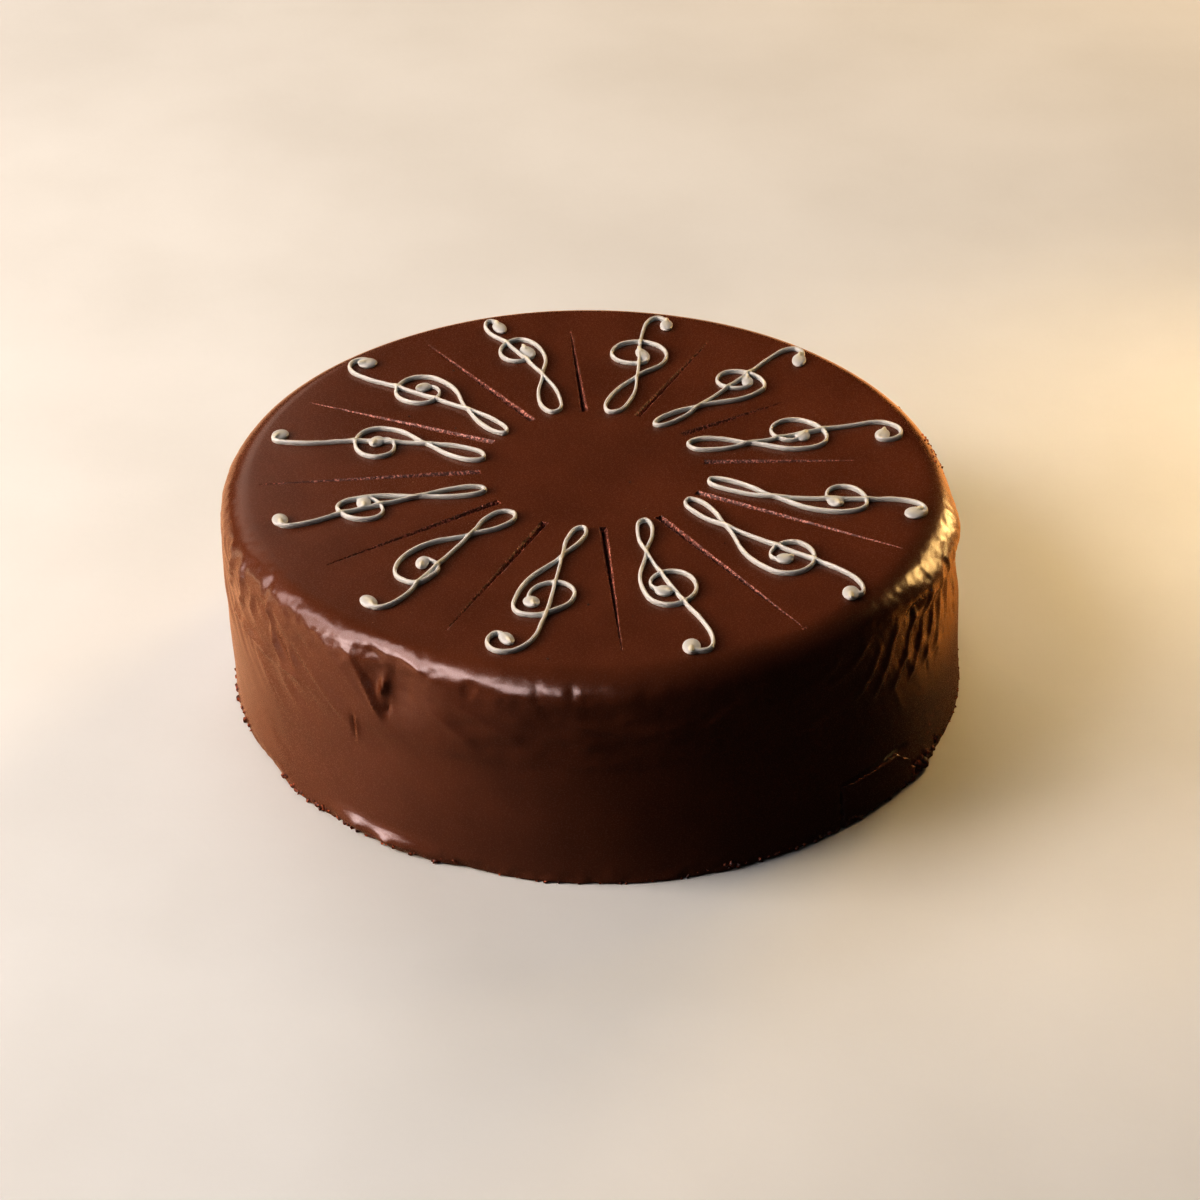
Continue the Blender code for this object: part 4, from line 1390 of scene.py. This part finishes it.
@dataclass(frozen=True)
class PipedClefs:
    """The treble clefs piped on the slices, each one joined bead of icing with a drop at each end."""

    surface: TorteSurface
    bead: Tree
    centre: Spot = DECORATION_CENTRE
    first_azimuth: float = 109.8
    half_width: float = 0.00120
    half_height: float = 0.00068
    waver: float = 0.07
    seat: float = 0.00050
    crossing_lift: float = 0.00045
    crossing_reach: float = 0.0019
    crossing_skip_mm: float = 7.0
    drop_height: float = 0.0018
    full_drop_mm: float = 2.6
    drop_shares: Spot = (0.30, 0.70)
    peak_height: float = 0.0022
    peak_place: float = 0.58
    peak_shares: Colour = (0.50, 0.30, 0.60)
    voxel: float = 0.00027
    smoothing: int = 6

    def frame(self, number: int) -> tuple[Array, Array]:
        """The outward and the crosswise direction of a slice."""
        turn = math.radians(self.first_azimuth + 360.0 / len(CLEFS) * number)
        return np.array((math.cos(turn), math.sin(turn))), np.array((-math.sin(turn), math.cos(turn)))

    def on_top(self, number: int, spots: Array, height: Array) -> Array:
        """Points over the top.

        Args:
            number: The slice's number.
            spots: Places as (across, out).
            height: How high over the top each point is.

        Returns:
            The points, one row each.
        """
        outward, crosswise = self.frame(number)
        flat = np.array(self.centre) + MM * (spots[:, :1] * crosswise + spots[:, 1:] * outward)
        return np.column_stack([flat, self.surface.top(flat[:, 0], flat[:, 1]) + height])

    def crossing(self, stroke: Array, under: Array, skip: int) -> Array:
        """How far each point of a stroke is lifted where it passes over an earlier one.

        Args:
            stroke: The stroke's places.
            under: The places of the strokes under it.
            skip: How many of its first points belong to the join with them.

        Returns:
            The lift at each point.
        """
        gap = np.linalg.norm(stroke[:, None, :] - under[None, :, :], axis=2).min(axis=1) * MM
        lift = self.crossing_lift * np.exp(-((gap / self.crossing_reach) ** 2))
        return lift * ease(np.arange(len(stroke)), skip, 2.0 * skip)

    def stroke(self, number: int, order: int, spots: Array, lift: Array) -> Object:
        """Pipe the bead of one stroke.

        Args:
            number: The slice's number.
            order: The stroke's number.
            spots: Its places as (across, out).
            lift: How far each is lifted.

        Returns:
            The bead.
        """
        points = self.on_top(number, spots, self.seat + lift)
        edges = [(start, start + 1) for start in range(len(points) - 1)]
        piece = new_piece(f"stroke_{order}", points, (), edges)
        size = piece.data.attributes.new("bead_size", "FLOAT", "POINT")
        sizes = BEAD_SIZES[order].along(np.linspace(0.0, 1.0, len(points)))
        size.data.foreach_set("value", sizes.astype(np.float32))
        # The bead's profile stands on its side, so its width goes by the half height.
        profile = {"Half Width": self.half_height, "Half Height": self.half_width}
        grow(piece, self.bead, {**profile, "Waver": self.waver, "Seed": float(number * 3 + order)})
        return piece

    def drop(self, number: int, drop: Drop) -> list[Object]:
        """Make the drop at an end of a bead, with the small peak that the nozzle pulled.

        Args:
            number: The slice's number.
            drop: The drop.

        Returns:
            The drop and its peak.
        """
        outward, crosswise = (Vector((*axis, 0.0)) for axis in self.frame(number))
        lean = math.radians(drop.lean)
        length = outward * math.cos(lean) + crosswise * math.sin(lean)
        width = crosswise * math.cos(lean) - outward * math.sin(lean)
        middle = Vector(self.on_top(number, np.array([drop[:2]]), np.zeros(1))[0])
        rise = self.drop_height * min(1.0, drop.half_width / self.full_drop_mm)
        seat, share = self.drop_shares
        egg = (drop.half_length * MM, drop.half_width * MM, rise * share)
        peak = tuple(half * part for half, part in zip(egg, self.peak_shares))
        tip = length * drop.half_length * MM * self.peak_place
        pieces = []
        for place, half in (
            (middle + Vector((0.0, 0.0, rise * seat)), egg),
            (middle + tip + Vector((0.0, 0.0, self.peak_height - peak[2])), peak),
        ):
            bm = bmesh.new()
            bmesh.ops.create_uvsphere(bm, u_segments=24, v_segments=14, radius=1.0)
            axes = Matrix((length * half[0], width * half[1], Vector((0, 0, half[2])))).transposed()
            for vert in bm.verts:
                vert.co = place + axes @ vert.co
            bmesh.ops.recalc_face_normals(bm, faces=bm.faces)
            pieces.append(piece_of("drop", bm))
        return pieces

    def build(self, number: int) -> Object:
        """Build one clef.

        Args:
            number: The slice's number.

        Returns:
            The clef as one smooth piece.
        """
        line = ClefLine()
        clef = CLEFS[number]
        strokes = [line.points(marks) for marks in line.strokes(clef)]
        skip = round(self.crossing_skip_mm / line.point_spacing)
        lifts = [np.zeros(len(strokes[0])), np.zeros(len(strokes[1]))]
        lifts.append(self.crossing(strokes[2], np.concatenate(strokes[:2]), skip))
        lines = enumerate(zip(strokes, lifts))
        parts = [self.stroke(number, order, spots, lift) for order, (spots, lift) in lines]
        parts += self.drop(number, clef.dot) + self.drop(number, clef.end)
        piece = join(f"piped_clef_{number + 1:02d}", parts)
        remesh = piece.modifiers.new("Flow", "REMESH")
        remesh.mode = "VOXEL"
        remesh.voxel_size = self.voxel
        remesh.use_smooth_shade = True
        smooth = piece.modifiers.new("Settle", "SMOOTH")
        smooth.factor = 0.5
        smooth.iterations = self.smoothing
        bake_modifiers(piece)
        return piece

    def dress(self, number: int, piece: Object, icing: Material) -> None:
        """Lay the icing finish on a clef, hold it under its solid's top and hand it over."""
        node = CLEF_NODE.format(number + 1)
        lay_on(piece, icing)
        hold_inside(piece, [-math.inf] * 3, [math.inf, math.inf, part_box(node)[1].z])
        declare(piece, [node])


# ---------------------------------------------------------------- crumbs, grains and specks


def scatter_tree(narrowness: float = 0.8, dent_cells: float = 0.9, dent_gain: float = 2.5) -> Tree:
    """The tree that puts an uneven crumb on each point of a mesh.

    Args:
        narrowness: A crumb's second width as a share of its first.
        dent_cells: How many dents there are to a crumb's radius.
        dent_gain: How much the dents' noise is widened.

    Returns:
        The geometry tree.
    """
    inputs = {"Detail": 2, "Unevenness": 0.5, "Flatness": 1.0, "Seed": 1}
    builder = TreeBuilder.modifier("scattered_crumbs", inputs)
    source = builder.source
    dots = builder.add("GeometryNodeMeshToPoints", inputs={0: source["Geometry"]}).outputs[0]
    crumb = builder.add("GeometryNodeMeshIcoSphere", inputs={"Radius": 1.0, "Subdivisions": source["Detail"]})
    size = builder.attribute("crumb_size")
    bounds = {0: ZERO, 1: (math.tau, math.tau, math.tau), "Seed": source["Seed"]}
    turns = builder.add("FunctionNodeRandomValue", {"data_type": "FLOAT_VECTOR"}, bounds).outputs[0]
    widths = {0: size, 1: builder.math("MULTIPLY", size, narrowness)}
    widths[2] = builder.math("MULTIPLY", size, source["Flatness"])
    placed = builder.add("GeometryNodeInstanceOnPoints", inputs={
        "Points": dots,
        "Instance": crumb.outputs[0],
        "Rotation": builder.add("FunctionNodeEulerToRotation", inputs={0: turns}).outputs[0],
        "Scale": builder.add("ShaderNodeCombineXYZ", inputs=widths).outputs[0],
    }).outputs[0]
    real = builder.add("GeometryNodeRealizeInstances", inputs={0: placed}).outputs[0]
    dent = {"Vector": builder.here(), "Scale": builder.math("DIVIDE", dent_cells, size), "Detail": 1.0}
    dents = builder.add("ShaderNodeTexNoise", {"noise_dimensions": "3D"}, dent).outputs["Color"]
    gain = builder.math("MULTIPLY", size, builder.math("MULTIPLY", source["Unevenness"], dent_gain))
    offset = builder.scaled(builder.vector("SUBTRACT", dents, (0.5, 0.5, 0.5)), gain)
    moved = builder.add("GeometryNodeSetPosition", inputs={0: real, "Offset": offset})
    return builder.finish_geometry(moved.outputs[0])


class CrumbRun(NamedTuple):
    """A stretch of the side with crumbs: its azimuths, how many, their radius and the heights they lie at."""

    start: float
    stop: float
    count: int
    radius: float
    low: float
    high: float


FOOT_RUNS = (
    CrumbRun(182, 202, 16, 0.0010, 0.0006, 0.004),
    CrumbRun(214, 230, 30, 0.0008, 0.0005, 0.003),
    CrumbRun(230, 249, 18, 0.0009, 0.0005, 0.003),
    CrumbRun(252, 276, 10, 0.0006, 0.0004, 0.001),
    CrumbRun(276, 305, 22, 0.0007, 0.0004, 0.002),
    CrumbRun(288.5, 290, 3, 0.0010, 0.001, 0.003),
    CrumbRun(305, 320, 22, 0.0008, 0.0005, 0.003),
    CrumbRun(322, 330, 14, 0.0021, 0.001, 0.005),
    CrumbRun(321, 336, 16, 0.0011, 0.001, 0.0065),
    CrumbRun(334, 358, 16, 0.0008, 0.0006, 0.003),
    CrumbRun(354, 356, 1, 0.0011, 0.009, 0.010),
    CrumbRun(0, 40, 20, 0.0008, 0.0006, 0.003),
    CrumbRun(40, 75, 22, 0.0012, 0.0008, 0.005),
    CrumbRun(75, 110, 16, 0.0008, 0.0006, 0.003),
    CrumbRun(110, 150, 26, 0.0012, 0.0008, 0.005),
    CrumbRun(150, 182, 16, 0.0008, 0.0006, 0.003),
)
RIM_RUNS = (
    CrumbRun(3, 15, 26, 0.0005, 0.0715, 0.0755),
    CrumbRun(23, 35, 14, 0.0008, 0.069, 0.0725),
    CrumbRun(326, 333, 7, 0.0006, 0.066, 0.069),
)


class Flecks(NamedTuple):
    """Flecks strewn over the top.

    The sizes run from the least share of the radius to the largest of all crumbs. Each fleck lies under
    the top by a share of its size and a fixed depth. Level ones keep to the full height at the rim.
    """

    name: str
    count: int
    radius: float
    least: float
    reach: float
    sunk_share: float
    sunk: float
    look: dict
    level: bool = False


SPECKS = Flecks("top_specks", 90, 0.00022, 0.45, 0.117, 0.45, 0.00008, {"Detail": 1, "Seed": 5})
# Dark flecks raised on the top, painted with the shade that small pits would hold.
PIT_SHADES = Flecks("top_pit_shades", 22, 0.0005, 0.5, 0.116, 0.0, 0.0001,
              {"Detail": 1, "Unevenness": 0.8, "Flatness": 0.5, "Seed": 8}, level=True)


@dataclass(frozen=True)
class Crumbs:
    """The loose things on the glaze: crumbs at the foot and the rim, grains in the marks, flecks on top."""

    surface: TorteSurface
    marks: SliceMarks
    tree: Tree
    sink: float = 0.35
    least: float = 0.35
    largest: float = 1.3
    foot_clearance: float = 0.9
    grains_per_metre: float = 1300.0
    grain_radii: Spot = (0.00010, 0.00022)
    grain_sides: Spot = (0.55, 1.1)
    grain_sink: float = 0.3
    grain_crowding: float = 1.3
    seed: int = 26

    def scatter(self, name: str, points: Sequence, sizes: Sequence[float], values: dict) -> Object:
        """Scatter crumbs.

        Args:
            name: The new object's name.
            points: Where the crumbs lie.
            sizes: Their radii.
            values: The tree's inputs by name.

        Returns:
            All the crumbs as one object.
        """
        piece = new_piece(name, np.array(points), ())
        size = piece.data.attributes.new("crumb_size", "FLOAT", "POINT")
        size.data.foreach_set("value", np.array(sizes, dtype=np.float32))
        grow(piece, self.tree, values)
        return piece

    def on_side(self, name: str, runs: Sequence[CrumbRun]) -> Object:
        """Lay crumbs along runs of the side.

        Args:
            name: The new object's name.
            runs: The runs.

        Returns:
            The crumbs.
        """
        rng = random.Random(self.seed)
        points, sizes = [], []
        for run in runs:
            for place in range(run.count):
                share = (place + rng.uniform(0.1, 0.9)) / run.count
                size = run.radius * rng.uniform(self.least, self.largest)
                height = max(size * self.foot_clearance, rng.uniform(run.low, run.high))
                azimuth = run.start + (run.stop - run.start) * share
                inset = self.sink * size
                points.append(self.surface.side(np.array(azimuth), np.array(inset), np.array(height)))
                sizes.append(size)
        return self.scatter(name, points, sizes, {"Detail": 2, "Unevenness": 1.0, "Seed": self.seed})

    def in_marks(self) -> Object:
        """Lay grains along the walls and lips of the slice marks.

        Returns:
            The grains.
        """
        rng = random.Random(self.seed + 1)
        points, sizes = [], []
        for cut in CUTS:
            length = cut.reach - self.marks.inner_radius
            for _ in range(round(length * self.grains_per_metre)):
                station = self.marks.station(cut, rng.random() ** self.grain_crowding)
                side = rng.choice((-1.0, 1.0)) * rng.uniform(*self.grain_sides)
                size = rng.uniform(*self.grain_radii)
                size = size * (0.5 + 0.5 * station.half_width / self.marks.half_width)
                hollow = max(0.0, 1.0 - abs(side)) ** self.marks.hollowness
                drop = hollow * station.depth + self.grain_sink * size
                spot = station.middle + station.crosswise * side * station.half_width - Vector((0, 0, drop))
                points.append(tuple(spot))
                sizes.append(size)
        return self.scatter("mark_grains", points, sizes, {"Detail": 1, "Seed": 3})

    def on_top(self, flecks: Flecks, seed: int) -> Object:
        """Strew flecks over the top.

        Args:
            flecks: The flecks.
            seed: What is added to the seed for them.

        Returns:
            The flecks as one object.
        """
        rng = random.Random(self.seed + seed)
        points, sizes = [], []
        for _ in range(flecks.count):
            reach = flecks.reach * math.sqrt(rng.random())
            turn = rng.uniform(0.0, math.tau)
            x = self.surface.top_axis[0] + reach * math.cos(turn)
            y = self.surface.top_axis[1] + reach * math.sin(turn)
            size = flecks.radius * rng.uniform(flecks.least, self.largest)
            top = HEIGHT if flecks.level else float(self.surface.top(np.array(x), np.array(y)))
            points.append((x, y, top - flecks.sunk_share * size - flecks.sunk))
            sizes.append(size)
        return self.scatter(flecks.name, points, sizes, flecks.look)

    def dress(self, piece: Object, finish: Material) -> None:
        """Lay a finish on scattered crumbs and hand them over."""
        lay_on(piece, finish)
        hold_inside(piece, *CAD_BOX)
        declare(piece)


@dataclass(frozen=True)
class LooseFlake:
    """The flake of glaze that has cracked loose at the foot, lifted along its right edge.

    Its top right corner falls away. Its edges are jagged: jag sizes are the height in metres and the
    azimuth in degrees that an edge strays, and the cells are how often it does.
    """

    surface: TorteSurface
    azimuths: Spot = (309.2, 324.6)
    heights: Spot = (0.0018, 0.0160)
    thickness: float = 0.0014
    columns: int = 56
    rows: int = 22
    lift: Spot = (0.0001, 0.0011)
    corner_fall: float = 0.0065
    corner_share: float = 0.22
    jag_sizes: Spot = (0.0007, 0.35)
    height_cells: Spot = (0.9, 3.0)
    azimuth_cells: Spot = (6.0, 4.0)
    edge_rounding: float = 0.0002
    edge_angle: float = 50.0

    def sheet(self, sink: float) -> Array:
        """One face of the flake.

        Args:
            sink: How far the face is set in from the flake's outer face.

        Returns:
            Its points, row by row.
        """
        low, high = self.heights
        start, stop = self.azimuths
        points = []
        for up in (row / self.rows for row in range(self.rows + 1)):
            for along in (column / self.columns for column in range(self.columns + 1)):
                azimuth = start + (stop - start) * along
                fall = self.corner_fall * max(0.0, along - (1.0 - self.corner_share)) / self.corner_share
                cell = Vector((azimuth * self.height_cells[0], up * self.height_cells[1], 2.0))
                jag = noise.noise(cell) * self.jag_sizes[0]
                height = low + (high - fall - low) * up + jag * (abs(2.0 * up - 1.0) ** 3)
                cell = Vector((up * self.azimuth_cells[0], along * self.azimuth_cells[1], 9.0))
                azimuth += noise.noise(cell) * self.jag_sizes[1] * abs(2.0 * along - 1.0) ** 3
                lift = self.lift[0] + (self.lift[1] - self.lift[0]) * along
                points.append(self.surface.side(np.array(azimuth), np.array(sink - lift), np.array(height)))
        return np.array(points)

    def build(self) -> Object:
        """Build the flake as a closed curved slab.

        Returns:
            The flake.
        """
        across, up = self.columns + 1, self.rows + 1
        outer, inner = self.sheet(0.0), self.sheet(self.thickness)
        count = len(outer)
        faces = []
        for row in range(self.rows):
            for column in range(self.columns):
                start = row * across + column
                quad = (start, start + 1, start + across + 1, start + across)
                faces.append(quad)
                faces.append([count + quad[corner] for corner in (0, 3, 2, 1)])
        border = list(range(across)) + [row * across + across - 1 for row in range(1, up)]
        border += [(up - 1) * across + column for column in reversed(range(across - 1))]
        border += [row * across for row in reversed(range(1, up - 1))]
        for start, stop in zip(border, border[1:] + border[:1]):
            faces.append((stop, start, count + start, count + stop))
        return new_piece("loose_flake", np.concatenate([outer, inner]), faces)

    def dress(self, piece: Object, glaze: Material, torn: Material) -> None:
        """Round the flake's edges, lay the glaze and its torn edges on it and hand it over."""
        lay_on(piece, glaze, torn)
        sheets = 2 * self.columns * self.rows
        torn_faces = [int(face.index >= sheets) for face in piece.data.polygons]
        piece.data.polygons.foreach_set("material_index", torn_faces)
        bevel = piece.modifiers.new("Edge", "BEVEL")
        bevel.width = self.edge_rounding
        bevel.segments = 2
        bevel.angle_limit = math.radians(self.edge_angle)
        bake_modifiers(piece)
        piece.data.shade_smooth()
        piece.data.set_sharp_from_angle(angle=math.radians(self.edge_angle))
        hold_inside(piece, *CAD_BOX)
        declare(piece)


# ---------------------------------------------------------------- the studio


@dataclass(frozen=True)
class SoftLight:
    """A rectangular soft light: where it stands, what it faces, its size, power and colour."""

    name: str
    azimuth: float
    elevation: float
    distance: float
    size: Spot
    power: float
    colour: Colour
    shades: bool = True
    glints: bool = True
    spread: float = 180.0
    aim: tuple[float, float, float] = (0.0, 0.0, 0.04)

    def place(self) -> None:
        """Add the light to the scene."""
        lamp = bpy.data.lights.new(self.name, "AREA")
        lamp.shape = "RECTANGLE"
        lamp.size, lamp.size_y = self.size
        lamp.energy = self.power
        lamp.spread = math.radians(self.spread)
        lamp.color = self.colour
        light = add_object(self.name, lamp)
        light.visible_diffuse = self.shades
        light.visible_glossy = self.glints
        turn, rise = math.radians(self.azimuth), math.radians(self.elevation)
        away = Vector((math.cos(turn) * math.cos(rise), math.sin(turn) * math.cos(rise), math.sin(rise)))
        light.location = Vector(self.aim) + away * self.distance
        light.rotation_euler = away.to_track_quat("Z", "Y").to_euler()


# The place on the floor beyond the right wall that the narrow light faces.
PATCH = (0.25, 0.08, 0.0)

LIGHTS = (
    SoftLight("window", 196, 44, 1.6, (0.9, 0.50), 20.0, (1.0, 0.86, 0.84), glints=False),
    SoftLight("left_glint", 172, 34, 1.6, (0.35, 0.7), 10.0, (1.0, 0.86, 0.88), shades=False),
    SoftLight("window_glint", 196, 41, 1.6, (0.6, 0.9), 24.0, (1.0, 0.86, 0.86), shades=False),
    SoftLight("foot_glint", 204, 19, 1.6, (0.5, 0.45), 20.0, (1.0, 0.86, 0.86), shades=False),
    SoftLight("rim_glint", 226, 40, 1.6, (0.5, 0.65), 25.0, (1.0, 0.86, 0.86), shades=False),
    SoftLight("front_glint", 249, 30, 1.6, (0.5, 0.45), 17.0, (1.0, 0.84, 0.84), shades=False),
    SoftLight("low_window", 190, 22, 1.6, (0.9, 0.45), 53.0, (1.0, 0.76, 0.58), glints=False),
    SoftLight("low_glint", 160, 4, 1.6, (1.0, 0.30), 4.0, (1.0, 0.80, 0.60), shades=False),
    SoftLight("back_window", 106, 45, 2.0, (1.4, 0.8), 17.0, (1.0, 0.84, 0.76), glints=False),
    SoftLight("back_glint", 121, 27, 2.0, (1.2, 0.6), 6.0, (1.0, 0.84, 0.76), shades=False),
    SoftLight("warm_side", 55, 18, 1.8, (0.5, 0.4), 28.0, (1.0, 0.60, 0.26), glints=False),
    SoftLight("warm_glint", 42, 5, 1.8, (0.28, 0.16), 9.0, (1.0, 0.66, 0.28), shades=False),
    SoftLight("roll_glint", 26, 16, 1.8, (0.28, 0.40), 18.0, (1.0, 0.66, 0.28), shades=False),
    SoftLight("warm_patch", 45, 50, 1.0, (0.2, 0.2), 0.36, (1.0, 0.62, 0.26), glints=False,
              spread=26, aim=PATCH),
    SoftLight("ceiling", 0, 89, 1.6, (1.0, 1.0), 2.5, (1.0, 0.88, 0.75), glints=False),
)


@dataclass(frozen=True)
class Studio:
    """The plain floor, the soft light and the camera at the viewing angle."""

    floor_size: float = 7.0
    sky_colour: Colour = (1.0, 0.93, 0.86)
    sky_strength: float = 0.025
    camera_place: tuple[float, float, float] = (0.0007, -0.8206, 0.5728)
    camera_tilt: float = 56.22
    lens: float = 83.0
    sensor: float = 36.0
    exposure: float = -1.0

    def build(self, effects: Effects) -> None:
        """Set up the floor, light and camera.

        Args:
            effects: The shared shader groups.
        """
        half = self.floor_size / 2
        corners = np.array([(-half, -half, 0.0), (half, -half, 0.0), (half, half, 0.0), (-half, half, 0.0)])
        floor = new_piece("floor", corners, [(0, 1, 2, 3)])
        floor.data.materials.append(FLOOR.material(effects))
        world = bpy.data.worlds.new("soft_room")
        world.use_nodes = True
        sky = world.node_tree.nodes["Background"]
        sky.inputs["Color"].default_value = rgba(self.sky_colour)
        sky.inputs["Strength"].default_value = self.sky_strength
        bpy.context.scene.world = world
        for light in LIGHTS:
            light.place()
        self.place_camera()

    def place_camera(self) -> None:
        """Add the camera at the viewing angle."""
        lens = bpy.data.cameras.new("camera")
        lens.sensor_fit = "HORIZONTAL"
        lens.sensor_width = self.sensor
        lens.lens = self.lens
        camera = add_object("camera", lens)
        camera.location = self.camera_place
        camera.rotation_euler = (math.radians(self.camera_tilt), 0.0, 0.0)
        bpy.context.scene.camera = camera
        view = bpy.context.scene.view_settings
        view.view_transform = "Standard"
        view.look = "High Contrast"
        view.exposure = self.exposure


def main() -> None:
    """Build and dress every piece."""
    logging.basicConfig(level=logging.INFO, format="%(name)s: %(message)s")
    effects = Effects(grain_effect(), tone_effect())
    glaze, broken, crumb = (finish.material(effects) for finish in (GLAZE, CUT_WALL, CRUMB_AND_GLINTS))
    surface, marks = TorteSurface(), SliceMarks()

    torte = GlazedTorte(surface, marks)
    body = torte.build()
    torte.dress(body, glaze, broken)

    clefs = PipedClefs(surface, bead_tree())
    icing = ICING.material(effects)
    for number in range(len(CLEFS)):
        clefs.dress(number, clefs.build(number), icing)

    crumbs = Crumbs(surface, marks, scatter_tree())
    # The crumb material carries painted orange glints besides the crumb's own colour.
    crumbs.dress(crumbs.on_side("foot_crumbs", FOOT_RUNS), crumb)
    crumbs.dress(crumbs.on_side("rim_chips", RIM_RUNS), crumb)
    crumbs.dress(crumbs.in_marks(), broken)
    crumbs.dress(crumbs.on_top(SPECKS, 2), SPECK.material(effects))
    crumbs.dress(crumbs.on_top(PIT_SHADES, 3), PIT_SHADE.material(effects))

    flake = LooseFlake(surface)
    flake.dress(flake.build(), glaze, crumb)

    Studio().build(effects)


if __name__ == "__main__":
    main()
